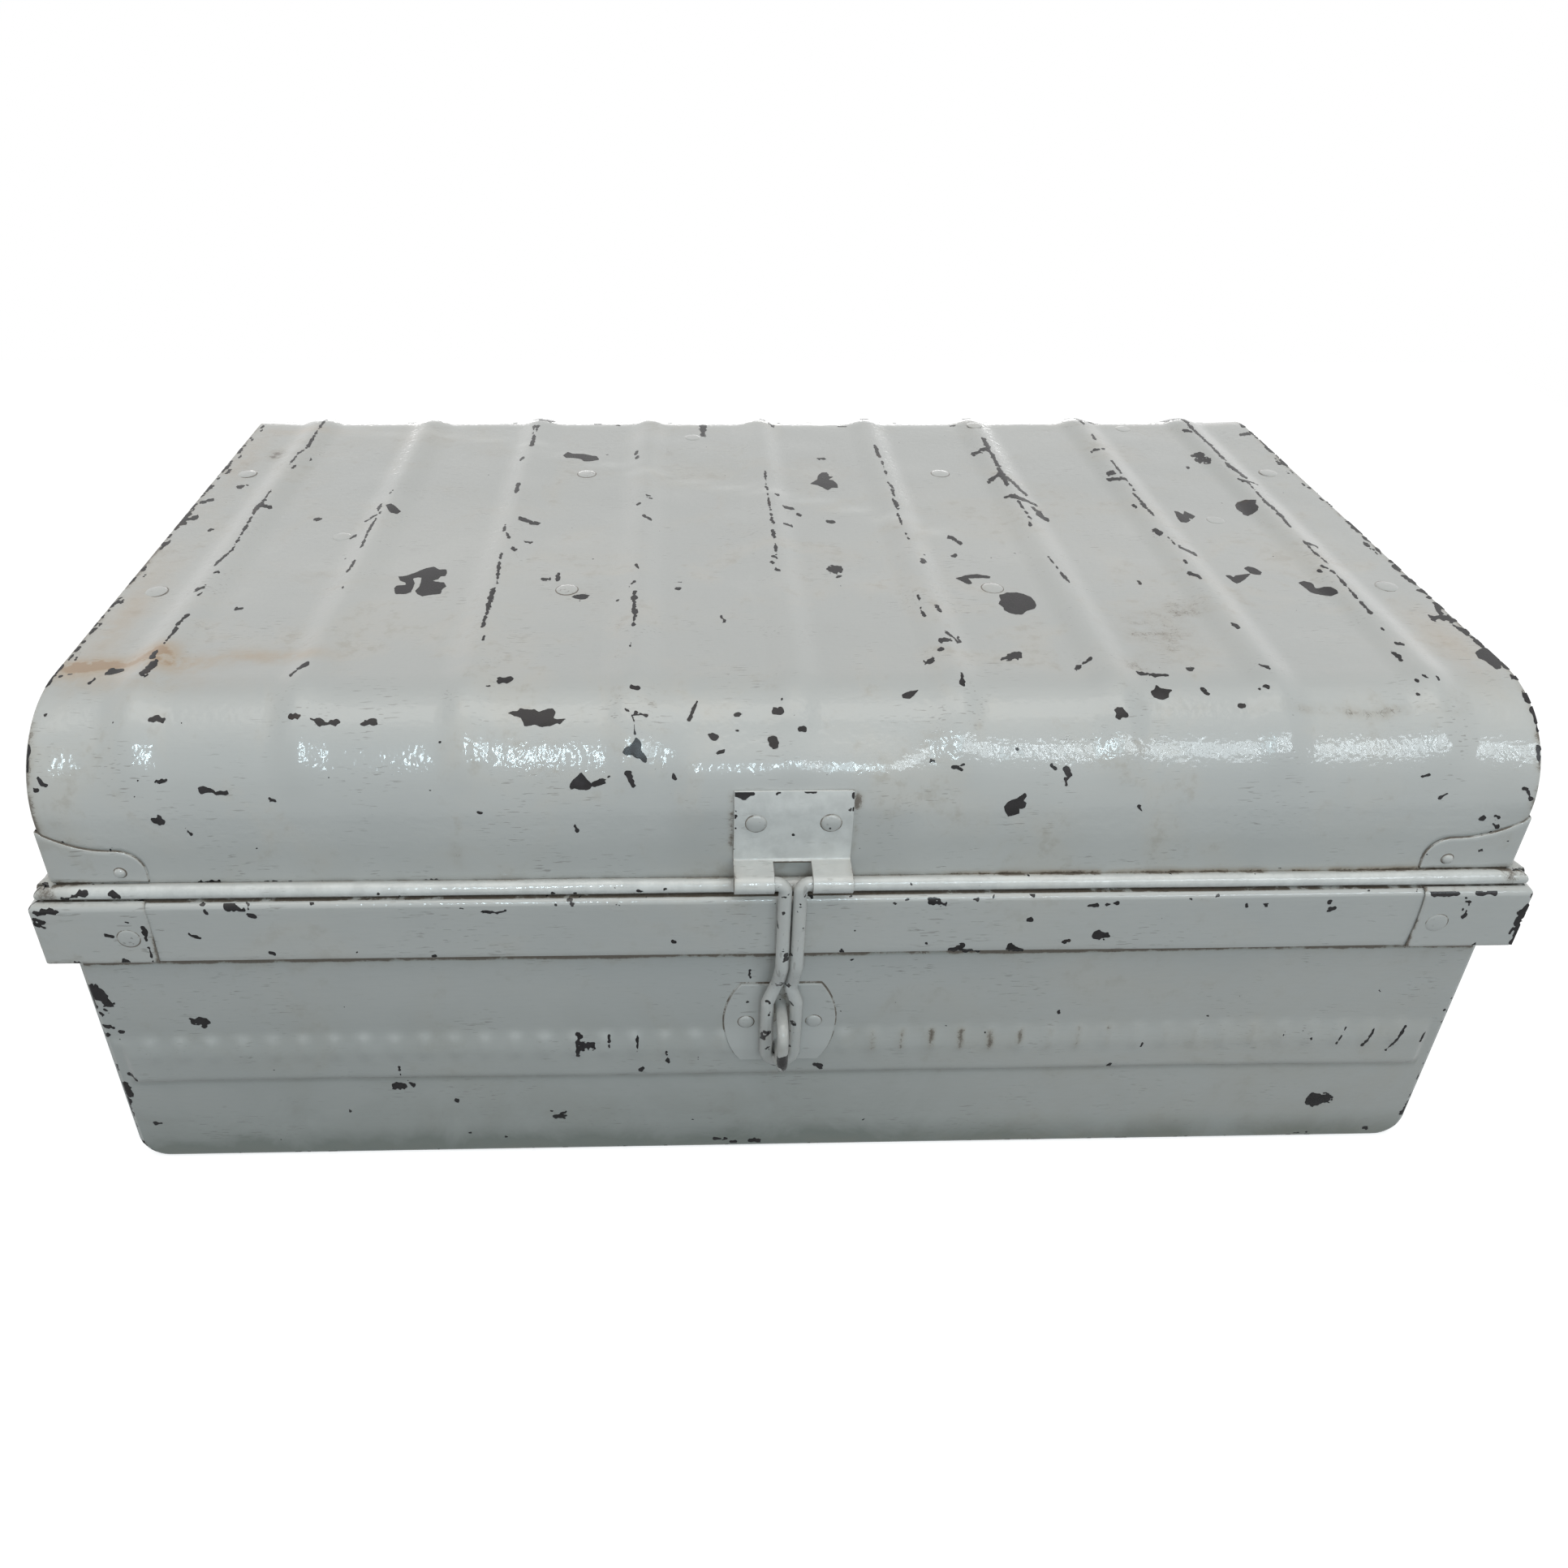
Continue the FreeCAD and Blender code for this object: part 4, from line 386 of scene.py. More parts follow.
def border_of(faces):
    """Edges that have a face on one side only."""
    edges = set()
    for face in faces:
        edges.update(zip(face, face[1:] + face[:1]))
    return sorted(edge for edge in edges if edge[::-1] not in edges)


# Marks at each point: dirt, which in places is painted shade; rust; pale, rubbed paint and painted highlights; wear;
# and shade, which is painted shade.
MARKS = ("dirt", "rust", "pale", "wear", "shade")
SHARP = math.radians(38)
AXIS = 0.01  # radius at the ends of a turned shape
TINY = 1e-9
EDGE_SWELL, EDGE_SOFT = 0.35, 0.62 * 0.35
# Rings round a plate's edge: height as a share of the thickness, swell and share of the dirt.
EDGE = [(0.86, EDGE_SOFT, 0.3), (0.5, EDGE_SWELL, 0.7), (0.14, EDGE_SOFT, 1.0)]
EDGE_OVER_FRINGE = [(0.86, EDGE_SOFT, 0.2), (0.5, EDGE_SWELL, 0.6), (0.1, EDGE_SWELL, 1.0)]


class Skin:
    """Collects faces in millimetres, with marks at each point, into one mesh."""

    def __init__(self):
        self.points, self.marks, self.faces = [], [], []
        self.total = 0

    def add(self, points, marks):
        points = np.asarray(points, float)
        fields = [np.broadcast_to(marks.get(name, 0.0), points.shape[:-1]).reshape(-1) for name in MARKS]
        start = self.total
        self.points.append(points.reshape(-1, 3))
        self.marks.append(np.stack(fields, axis=1))
        self.total += len(self.points[-1])
        return start

    def grid(self, points, flip=False, close=False, **marks):
        """A sheet of points; its outer side is axis 0 crossed with axis 1, or the other with flip."""
        rows, cols = points.shape[:2]
        index = self.add(points, marks) + np.arange(rows * cols).reshape(rows, cols)
        if close:
            index = np.concatenate([index, index[:, :1]], axis=1)
        self.faces.extend(quads_of(index, None, flip).tolist())

    def plate(self, base, thick, flip, edge_dirt, keep=None, fringe=0.0, **marks):
        """A closed plate over a sheet of points, its edges rounded and a fringe of grime round its foot."""
        normal = np.cross(np.gradient(base, axis=0), np.gradient(base, axis=1))
        normal /= np.linalg.norm(normal, axis=-1, keepdims=True)
        if flip:
            normal = -normal
        rows, cols = base.shape[:2]
        inner = self.add(base, marks)
        outer = self.add(base + normal * thick, marks)
        quads = quads_of(np.arange(rows * cols).reshape(rows, cols), keep, flip)
        self.faces.extend((quads + outer).tolist())
        self.faces.extend((quads[:, ::-1] + inner).tolist())
        border = border_of(quads.tolist())
        flat, face = base.reshape(-1, 3), normal.reshape(-1, 3)
        away = {}
        for a, b in border:
            side = np.cross(flat[b] - flat[a], face[a])
            side /= np.linalg.norm(side) + TINY
            for corner in (a, b):
                away[corner] = away.get(corner, 0.0) + side
        ids = sorted(away)
        place = {corner: k for k, corner in enumerate(ids)}
        out = np.array([away[i] / (np.linalg.norm(away[i]) + TINY) for i in ids])
        edge_marks = {name: np.broadcast_to(value, (rows, cols)).reshape(-1)[ids] for name, value in marks.items()}
        clean = edge_marks.get("dirt", 0.0)
        profile = EDGE
        if fringe:
            profile = EDGE_OVER_FRINGE + [(-0.02, EDGE_SWELL + fringe, 1.0), (-0.1, 0.0, 1.0)]
        rings = []
        for height, swell, share in profile:
            edge_marks["dirt"] = clean + edge_dirt * share
            rings.append(self.add(flat[ids] + face[ids] * thick * height + out * swell, edge_marks))
        for a, b in border:
            left, right = ([outer + k] + [ring + place[k] for ring in rings] + [inner + k] for k in (a, b))
            for k in range(len(rings) + 1):
                self.faces.append([right[k], left[k], left[k + 1], right[k + 1]])

    def tube(self, path, radius, sides=20, **marks):
        """A round rod along a path of points, with softened ends."""
        ahead = np.gradient(path, axis=0)
        ahead /= np.linalg.norm(ahead, axis=1, keepdims=True)
        side = np.cross(ahead[0], [0.31, 0.87, 0.38])
        side /= np.linalg.norm(side)
        across = []
        for way in ahead:
            side = side - way * np.dot(side, way)
            side /= np.linalg.norm(side)
            across.append(side)
        u = np.array(across)
        v = np.cross(ahead, u)
        turn = np.linspace(0, 2 * math.pi, sides, endpoint=False)
        cos, sin = np.cos(turn)[:, None], np.sin(turn)[:, None]
        last = len(path) - 1
        ends = [(0.02, 0.0), (0.75, 0.0), (0.93, 0.25)]
        rings = [(0, scale, reach) for scale, reach in ends]
        rings += [(k, 1.0, 0.0) for k in range(1, last)]
        rings += [(last, scale, -reach) for scale, reach in ends[::-1]]
        points = np.array([
            path[k] + ahead[k] * reach + radius * scale * (cos * u[k] + sin * v[k]) for k, scale, reach in rings])
        places = [k for k, _, _ in rings]
        fields = {}
        for name, value in marks.items():
            value = np.asarray(value, float)
            fields[name] = value[places][:, None] if value.ndim else value
        self.grid(points, flip=True, close=True, **fields)

    def lathe(self, spot, out, profile, sides=28, **marks):
        """A turned shape: profile gives radius and height along out."""
        out = np.asarray(out, float)
        side = np.cross(out, [0.53, -0.61, 0.59])
        side /= np.linalg.norm(side)
        turn = np.linspace(0, 2 * math.pi, sides, endpoint=False)
        ring = np.cos(turn)[:, None] * side + np.sin(turn)[:, None] * np.cross(out, side)
        points = np.array([np.asarray(spot, float) + out * h + ring * r for r, h in profile])
        fields = {name: np.asarray(value, float)[:, None] for name, value in marks.items()}
        self.grid(points, close=True, **fields)

    def rivet(self, spot, out, kind, depth):
        """A rivet under paint: a softened dome, its shank and its tail."""
        shank, head, rise = kind
        profile = [(head * math.sin(t) + AXIS, rise * math.cos(t) ** 0.9) for t in quarter(8)[:-1]]
        profile += [(head, rise * 0.12), (head + 0.3, 0.06), (head + 0.75, -0.04), (shank, -0.1), (shank, -depth)]
        profile += [(shank * 1.5, -depth), (shank * 1.4, -depth - 1.2), (AXIS, -depth - 1.2)]
        self.lathe(spot, out, profile, dirt=[0.0] * 5 + [0.1, 0.35, 0.9, 1.3, 1.0] + [0.3] * 5)

    def make(self, name, material, body, slot, nodes):
        mesh = bpy.data.meshes.new(name)
        mesh.from_pydata((np.concatenate(self.points) * MM).tolist(), [], self.faces)
        fields = np.concatenate(self.marks)
        for k, mark in enumerate(MARKS):
            layer = mesh.attributes.new(mark, "FLOAT", "POINT")
            layer.data.foreach_set("value", np.ascontiguousarray(fields[:, k], dtype=np.float32))
        mesh.materials.append(material)
        mesh.polygons.foreach_set("use_smooth", [True] * len(mesh.polygons))
        mesh.set_sharp_from_angle(angle=SHARP)
        piece = bpy.data.objects.new(name, mesh)
        bpy.context.collection.objects.link(piece)
        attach(piece, body)
        if nodes:
            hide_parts(*nodes)


def bend(points, radii, step):
    """Points along a bent path: straight runs, with a tangent arc at each inner corner."""
    points = [np.asarray(p, float) for p in points]
    start = points[0]
    out = []

    def run(start, end):
        count = max(1, int(np.linalg.norm(end - start) / step))
        out.extend(start + (end - start) * k / count for k in range(count))

    for before, corner, after, radius in zip(points, points[1:], points[2:], radii):
        back = (before - corner) / np.linalg.norm(before - corner)
        ahead = (after - corner) / np.linalg.norm(after - corner)
        half = math.acos(float(np.clip(np.dot(back, ahead), -1, 1))) / 2
        reach = radius / math.tan(half)
        first, last = corner + back * reach, corner + ahead * reach
        run(start, first)
        middle = corner + (back + ahead) / np.linalg.norm(back + ahead) * radius / math.sin(half)
        a, b = first - middle, last - middle
        sweep = math.pi - 2 * half
        count = max(3, int(radius * sweep / step) + 2)
        for t in (k / count for k in range(count)):
            out.append(middle + (a * math.sin((1 - t) * sweep) + b * math.sin(t * sweep)) / math.sin(sweep))
        start = last
    run(start, points[-1])
    out = np.array(out + [points[-1]])
    gaps = np.linalg.norm(np.diff(out, axis=0), axis=1)
    return out[np.concatenate([[True], gaps > 1e-4])]


def lid_base(s):
    """Place and outward direction of the lid's sheet, front to back, at a length round it."""
    s = np.asarray(s, float)
    front = (s - S_ROLL) / ROLL
    back = (s - S_BACK) / ROLL
    zones = [s < S_ROLL, s < S_TOP, s < S_BACK, s < S_DOWN]
    none, full = np.zeros_like(s), np.ones_like(s)
    y = np.select(zones, [
        -HALF_Y * full, -FLAT_Y - ROLL * np.cos(front), -FLAT_Y + s - S_TOP, FLAT_Y + ROLL * np.sin(back)], HALF_Y)
    z = np.select(zones, [
        BEAD_Z + s, ROLL_Z + ROLL * np.sin(front), TOP_Z * full, ROLL_Z + ROLL * np.cos(back)], ROLL_Z - (s - S_DOWN))
    ny = np.select(zones, [-full, -np.cos(front), none, np.sin(back)], 1.0)
    nz = np.select(zones, [none, np.sin(front), full, np.cos(back)], 0.0)
    return y, z, ny, nz


def rib_strength(s):
    """How high the pressed ribs stand: full on the top, fading down the rolls."""
    tilt = np.clip(np.where(s < S_TOP, (S_TOP - s) / ROLL, (s - S_BACK) / ROLL), 0, math.pi / 2)
    inner = ROLL - 1.5
    rise = np.sqrt((inner * np.sin(tilt)) ** 2 + (5 + inner * np.cos(tilt)) ** 2) - ROLL
    return np.clip(rise / 3.5, 0, 1) + 0.07 * smooth((s - 30) / 40) * smooth((S_END - 30 - s) / 40)


def lid_height(x, s):
    """How far the lid's sheet stands off its plain form."""
    gap = np.abs((x - RIB_FIRST + RIB_PITCH / 2) % RIB_PITCH - RIB_PITCH / 2)
    rib = np.where(gap < RIB_HALF, np.cos(math.pi / 2 * gap / RIB_HALF) ** 2, 0.0)
    inside = smooth((WRAP_X - np.abs(x)) / 30)
    roll = smooth((s - 20) / 40) * smooth((S_TOP + 25 - s) / 40)
    roll = roll + smooth((S_END - 20 - s) / 40) * smooth((s - S_BACK + 25) / 40)
    uneven = 0.30 * waves(x, s, 3, 170) + 0.10 * waves(x, s, 4, 55) + 0.15 * roll * waves(x, 0.2 * s, 5, 80)
    uneven = uneven - 3.0 * smooth((s - 14) / 46) * smooth((S_TOP - 6 - s) / 55)
    # Flat along the beads and under the hasp plate and the hinge leaves.
    low = smooth((s - 3) / 18) * smooth((S_END - 3 - s) / 18)
    for x0, s0 in ((HASP_X, 0.0), (HINGE_XS[0], S_END), (HINGE_XS[1], S_END)):
        low = low * (1 - smooth((70 - np.abs(x - x0)) / 25) * smooth((90 - np.abs(s - s0)) / 25))
    return RIB_HIGH * rib * rib_strength(s) / 1.07 + inside * low * (uneven - 0.7)


def lid_point(x, s, lift):
    y, z, ny, nz = lid_base(s)
    out = lid_height(x, s) + lift
    return stack(x, y + ny * out, z + nz * out)


def top_spot(x, y):
    """A place on the lid's top."""
    rise = lid_height(np.array(float(x)), np.array(S_TOP + y + FLAT_Y))
    return x, y, TOP_Z + float(rise)


def swage_rise(x, z):
    """The pressed band across the body: soft above with a row of flutes, a crisp step below."""
    body = smooth((z - SWAGE_LOW + 0.8) / 4.0) * smooth((SWAGE_HIGH + 1.0 - z) / 17.0)
    body = body * smooth((SWAGE_X - np.abs(x)) / 4.0)
    flute = 0.5 + 0.5 * np.cos(2 * math.pi * (x - FLUTE_X) / FLUTE_PITCH)
    window = smooth((z - 80) / 10) * smooth((105 - z) / 8) * smooth((SWAGE_X - 4 - np.abs(x)) / 6)
    return SWAGE_RISE * body + 0.95 * flute ** 2 * window


def panel_face(x, z, side):
    """Distance of a panel's outer face from the middle plane; it is flat round its edge and under the staple."""
    calm = smooth((PANEL_X - 4 - np.abs(x)) / 40) * smooth((z - 4) / 40) * smooth((199 - z) / 20)
    quiet = 1 - smooth((60 - np.abs(x - STAPLE_X)) / 25) * smooth((z - 70) / 10)
    uneven = 0.55 * waves(x, z, PANEL_SEED[side], 210) + 0.16 * waves(x, z, PANEL_SEED[side] + 1, 70)
    return FACE_Y + swage_rise(x, z) + calm * quiet * (uneven - 0.3)


def band_wave(a, seed):
    return 0.28 * waves(a, 0.0 * a, seed, 190, 6)


def bead_run(half, face, side, seed, count):
    """One side's rolled edge: turns round it from underneath out and up, places along, away and up."""
    turns = np.linspace(2 * math.pi, BEAD_START, 25)
    out, z = BEAD_OUT - BEAD_R * np.cos(turns), BEAD_Z + BEAD_R * np.sin(turns)
    along = np.linspace(-1, 1, count)[:, None] * (half + out - MITRE)
    wobble = 0.22 * waves(along, 0 * along, seed, 120, 6)
    return turns, along, side * (face + out), z + wobble * np.sin(turns)


def lid_marks(x, s):
    """Dirt, rust, bright rubbed paint, and painted shade on the lid: darker over the back of the top and along the
    sheet's lower edges.
    """
    low = np.minimum(s, S_END - s)
    right = smooth((x - 60) / 40)
    line = bell(low - BEAD_MEET, 2.0) * (0.55 + 0.45 * right)
    ends = bell(WRAP_X - np.abs(x), 3.0) * 0.8
    corner = np.exp(-((WRAP_X - np.abs(x)) / 30) ** 2 - (low / 14) ** 2) * 0.6
    return {
        "dirt": line + ends + corner + spots(x, s, DIRT),
        "rust": spots(x, s, RUST) + 0.6 * line * right,
        "pale": spots(x, s, [row + (PALE_STRENGTH,) for row in PALE]),
        # Painted shade: darker over the back of the top and along the sheet's lower edges.
        "shade": 0.28 * smooth((s - S_TOP - 80) / 240) + 0.16 * smooth((40 - low) / 20)}


def build_lid_wrap(skin):
    s = steps(BEAD_MEET, S_END - BEAD_MEET, 3.0)
    u = np.concatenate([[-1.0], np.linspace(-1, 1, 301), [1.0]])[:, None]
    drop = np.zeros_like(u)
    drop[0] = drop[-1] = -SHEET
    x = u * WRAP_X
    skin.grid(lid_point(x, s + 0 * x, drop), **lid_marks(x, s))
    for side in (-1, 1):
        turns, along, away, height = bead_run(HALF_X, HALF_Y, side, 21 + side, 241)
        seam = smooth((1.05 - turns) / 0.35) + smooth((1.95 - turns) / 0.7) * (0.62 + 0.5 * smooth((along - 60) / 60))
        # Dirt in the seam above the bead and at its ends; the underside, over the rim, is darkened as painted shade.
        dirt = 1.5 * smooth((turns - 3.82) / 0.4) + 0.9 * seam + 0.8 * bell(HALF_X - np.abs(along), 12)
        # The bead's outer face is lightened through the pale mark, a painted highlight.
        face = smooth((turns - 1.3) / 0.5) * smooth((4.4 - turns) / 0.5)
        skin.grid(stack(along, away, height), flip=side > 0, dirt=dirt, pale=face, wear=0.1)
    x = np.linspace(-WRAP_X, WRAP_X, 121)[:, None]
    skin.grid(lid_point(x, steps(0.0, S_END, 7.0) + 0 * x, -SHEET), flip=True, dirt=0.1)
    draw = random.Random(5)
    scroll = [(4.3, -7.0), (4.4, 0.0), (4.1, 0.5), (3.2, 0.5), (2.8, 0.1), (2.6, -2.5), (AXIS, -2.6)]
    for sx in (-1, 1):
        for sy in (-1, 1):
            end = (sx * (HALF_X + 2.6), sy * (HALF_Y + 3.0), BEAD_Z + 2.0)
            skin.lathe(
                end, (0.15 * sx, 0.98 * sy, 0.1), scroll, 18,
                dirt=[0.4, 0.5, 0.7, 0.9, 1.3, 1.6, 1.6], wear=[0.3, 0.5, 0.6, 0.6, 0.3, 0, 0])
            for _ in range(4):
                lump = (
                    sx * (HALF_X + draw.uniform(0.5, 4.0)), sy * (HALF_Y + draw.uniform(0.5, 3.5)),
                    BEAD_Z + draw.uniform(-1.2, 1.6))
                size = draw.uniform(1.8, 3.4)
                profile = [(size * math.sin(t) + AXIS, size * math.cos(t)) for t in np.linspace(0, math.pi, 9)]
                skin.lathe(lump, (0.3 * sx, 0.2 * sy, 0.93), profile, 14, dirt=[0.8] * 9, wear=[0.5] * 9)
    painted_over = [(AXIS, 0.34), (3.4, 0.33), (4.9, 0.28), (5.5, 0.14), (5.8, -0.05), (5.6, -0.5), (AXIS, -0.5)]
    for x, y in ((-50, 157), (166, 174), (282, 175), (-271, -14.5), (292, 7)):
        skin.lathe(top_spot(x, y), (0, 0, 1), painted_over, dirt=[0, 0, 0.1, 0.5, 0.8, 0.3, 0])


def build_lid_end(skin, side):
    flip = side < 0
    fold = 1.5
    radius = ROLL - 1.0 - fold
    y, top = rounded(FLAT_Y, ROLL_Z, radius, 1, 19, 6.0)
    low, high = BEAD_Z + BEAD_MEET, top[:, None]
    zz = low + (high - low) * np.linspace(0, 1, 34)
    yy = y[:, None] + 0 * zz
    calm = smooth((230 - np.abs(yy)) / 30) * smooth((high - zz) / 20) * smooth((zz - low) / 15)
    bulge = calm * (0.5 * waves(yy, zz, 31 + side, 150) + 0.15 * waves(yy, zz, 35 + side, 60) - 0.3)
    dirt = bell(zz - low, 2.2) * 0.7 + 0.25 * bell(high - zz, 3.0) + 0.25 * bell(zz - low, 30)
    skin.grid(stack(side * (HALF_X + bulge), yy, zz), flip=flip, dirt=dirt)
    wall = steps(low, ROLL_Z, 6.0)[:-1]
    lean = np.clip((y - np.sign(y) * FLAT_Y) / radius, -1, 1) * (np.abs(y) > FLAT_Y)
    ny = between(wall, -1.0, lean, 1.0)
    across, up, back = hem(
        between(wall, y[0], y, y[-1]), np.concatenate([wall, top, wall[::-1]]), ny, np.sqrt(1 - ny ** 2),
        fold, [4.0, 7.0, 10.0])
    skin.grid(stack(side * (HALF_X - back), across, up), flip=flip, dirt=0.5, wear=0.3)
    turns, along, away, height = bead_run(HALF_Y, HALF_X, side, 41 + side, 161)
    # The bead's underside is darkened as painted shade, with dirt in the seam above it.
    under = smooth((turns - 4.6) / 1.2) + smooth((1.25 - turns) / 0.6)
    skin.grid(stack(away, along, height), flip=flip, dirt=1.1 * under, wear=0.1)
    zz = BEAD_Z + (high - BEAD_Z) * np.linspace(0, 1, 12)
    skin.grid(stack(side * (HALF_X - SHEET), y[:, None], zz), flip=not flip, dirt=0.1)


def rim_profile():
    """The rim's section: distance out from the lid's face and height, from under the ledge round the band."""
    low, high, inner = BAND_LOW, RIM_Z - SHOULDER, BAND_OUT - SHEET
    rows = [(0.8, RIM_Z - SHEET), (inner, RIM_Z - SHEET), (inner, low + 0.3)]
    rows += [(BAND_OUT - 0.45, low), (BAND_OUT - 0.1, low + 0.15)]
    rows += [(BAND_OUT, z) for z in np.linspace(low + 0.5, high, 12)]
    rows += [(BAND_OUT - SHOULDER + SHOULDER * math.cos(t), high + SHOULDER * math.sin(t)) for t in quarter(8)[1:-1]]
    rows += [(out, RIM_Z) for out in (6.8, 5.5, 4.0, 2.6)]
    rows += [(1.9 - 2 * math.sin(t), RIM_Z - 2 + 2 * math.cos(t)) for t in quarter(5)]
    return np.array(rows).T


def build_rim(skin, along_x, side, seed):
    out, z = rim_profile()
    half, face, count = (HALF_X, HALF_Y, 261) if along_x else (HALF_Y, HALF_X, 161)
    a = np.linspace(-1, 1, count)[:, None] * (half + out - MITRE)
    away = side * (face + out + smooth((out - 2) / 4) * band_wave(a, seed))
    points = stack(a, away, z) if along_x else stack(away, a, z)
    flip = side > 0 if along_x else side < 0
    dirt = 0.35 * bell(z - BAND_LOW, 1.5) + 1.5 * (np.abs(out - 3.6) < 3.4) * (z > RIM_Z - 0.5)
    skin.grid(points, flip=flip, dirt=dirt, wear=0.2 * (z > RIM_Z - 3.2))


def build_panel(skin, side):
    flip = side > 0
    radius = PANEL_CORNER - PANEL_FOLD
    x, low = rounded(CORNER_X, CORNER_Z, radius, -1, CORNER_STEPS, FLUTE_PITCH / 10)
    zz = low[:, None] + (RIM_Z - SHEET - low[:, None]) * np.linspace(0, 1, 100)
    xx = x[:, None] + 0 * zz
    out = side * panel_face(xx, zz, side)
    toward = xx * -side
    phase = np.abs((xx - FLUTE_X + FLUTE_PITCH / 2) % FLUTE_PITCH - FLUTE_PITCH / 2)
    worn = smooth((toward - 24) / 50)
    flutes = bell(phase, 2.6) * smooth((zz - 78) / 14) * smooth((103 - zz) / 4) * worn
    flutes = flutes * (np.abs(xx) < SWAGE_X - 4) * (1 - 0.6 * smooth((xx - 150) / 90))
    # A dark line under the swage's lower step: painted shadow, carried in both the dirt and the shade marks.
    step = bell(zz - SWAGE_LOW, 2.6) * (np.abs(xx) < SWAGE_X)
    # Painted shadow under the rim's band, a softer darkening below it, and darker towards the bottom.
    under = 1.25 * smooth((zz - 156) / 3) + 0.15 * smooth((zz - 148) / 8)
    under = under + 0.15 * smooth((zz - 135) / 25) + 0.35 * smooth((20 - zz) / 20)
    right = smooth((toward - 30) / 150)
    near = np.exp(-((xx - STAPLE_X) / 48) ** 2 - ((zz - 96) / 22) ** 2) * 0.55 * (side < 0)
    # Painted shade: darker lower down and on the left, darkest at the foot, with painted shadow under the band and
    # under the swage's step.
    shade = (0.30 * smooth((75 - zz) / 60) + 0.30 * smooth((150 - zz) / 60)) * (1.12 - 0.62 * right)
    shade = shade + 1.1 * smooth((28 - zz) / 28) + 1.2 * smooth((zz - 155.5) / 3) + 0.6 * step
    # The pale mark paints highlights on the flutes' crests at the left; rust gives a faint warm tint towards the right.
    skin.grid(
        stack(xx, out, zz), flip=flip, dirt=0.8 * flutes + 0.3 * step + under + near, rust=0.05 * right,
        pale=0.8 * np.exp(-((zz - 99) / 3.0) ** 2 - (phase / 4.0) ** 2) * (1 - worn), shade=shade)
    down = steps(RIM_Z - 1, CORNER_Z, 6.0)[:-1]
    nx = between(down, -1.0, np.clip((np.abs(x) - CORNER_X) / radius, 0, 1) * np.sign(x), 1.0)
    across, up, back = hem(
        between(down, x[0], x, x[-1]), np.concatenate([down, low, down[::-1]]), nx, -np.sqrt(1 - nx ** 2),
        PANEL_FOLD, [6.0, 10.0])
    skin.grid(stack(across, side * (FACE_Y - back), up), flip=not flip, dirt=0.35, wear=0.35)
    last = len(x) - CORNER_STEPS
    columns = np.unique(np.concatenate([np.arange(0, len(x), 5), np.arange(CORNER_STEPS), np.arange(last, len(x))]))
    skin.grid(stack(xx, out - side * SHEET, zz)[columns][:, ::3], flip=not flip, dirt=0.15)
    build_rim(skin, True, side, BAND_SEED[side])


def trough(radius):
    """Left end, floor and right end of the body's wrap, as one outline."""
    wall = steps(CORNER_Z, RIM_Z - SHEET, 4.0)[1:]
    x, z = rounded(CORNER_X, CORNER_Z, radius, -1, CORNER_STEPS, 6.0)
    return between(wall, x[0], x, x[-1]), np.concatenate([wall[::-1], z, wall])


def build_body_wrap(skin):
    px, pz = trough(CORNER_R)
    limit = FACE_Y - PANEL_FOLD
    y = np.concatenate([[-limit], steps(-limit, limit, 4.0), [limit]])[:, None]
    drop = np.zeros_like(y)
    drop[0] = drop[-1] = SHEET
    calm = smooth((limit - 4 - np.abs(y)) / 40) * smooth((pz - 20) / 40) * smooth((199 - pz) / 20)
    quiet = 1 - smooth((95 - np.abs(y)) / 25) * smooth((pz - 55) / 15)
    bulge = calm * quiet * (0.55 * waves(y, pz, 71, 180) + 0.15 * waves(y, pz, 72, 60) - 0.3)
    wall = np.abs(px) > CORNER_X + CORNER_R - 0.1
    floor = (pz < 0.01) * smooth((limit - 6 - np.abs(y)) / 50) * smooth((CORNER_X - np.abs(px)) / 50)
    rise = floor * (0.9 + 0.7 * waves(y, px, 73, 240)).clip(0.0, None)
    nx = np.clip((np.abs(px) - CORNER_X) / CORNER_R, 0, 1) * np.sign(px)
    xx = px + np.sign(px) * wall * bulge - nx * drop
    zz = pz + rise + np.sqrt(1 - nx ** 2) * drop
    # Painted shadow under the band on the end walls, and darker towards the bottom.
    under = 0.5 * bell(zz - BAND_LOW, 6.0) * wall + 0.4 * smooth((24 - zz) / 24)
    skin.grid(stack(xx, y, zz), dirt=under, wear=0.3 * (np.abs(pz - 5) < 4))
    px, pz = trough(CORNER_R - SHEET)
    skin.grid(stack(px, steps(-limit, limit, 12.0)[:, None], pz), flip=True, dirt=0.25)
    for side in (-1, 1):
        build_rim(skin, False, side, END_BAND_SEED[side])


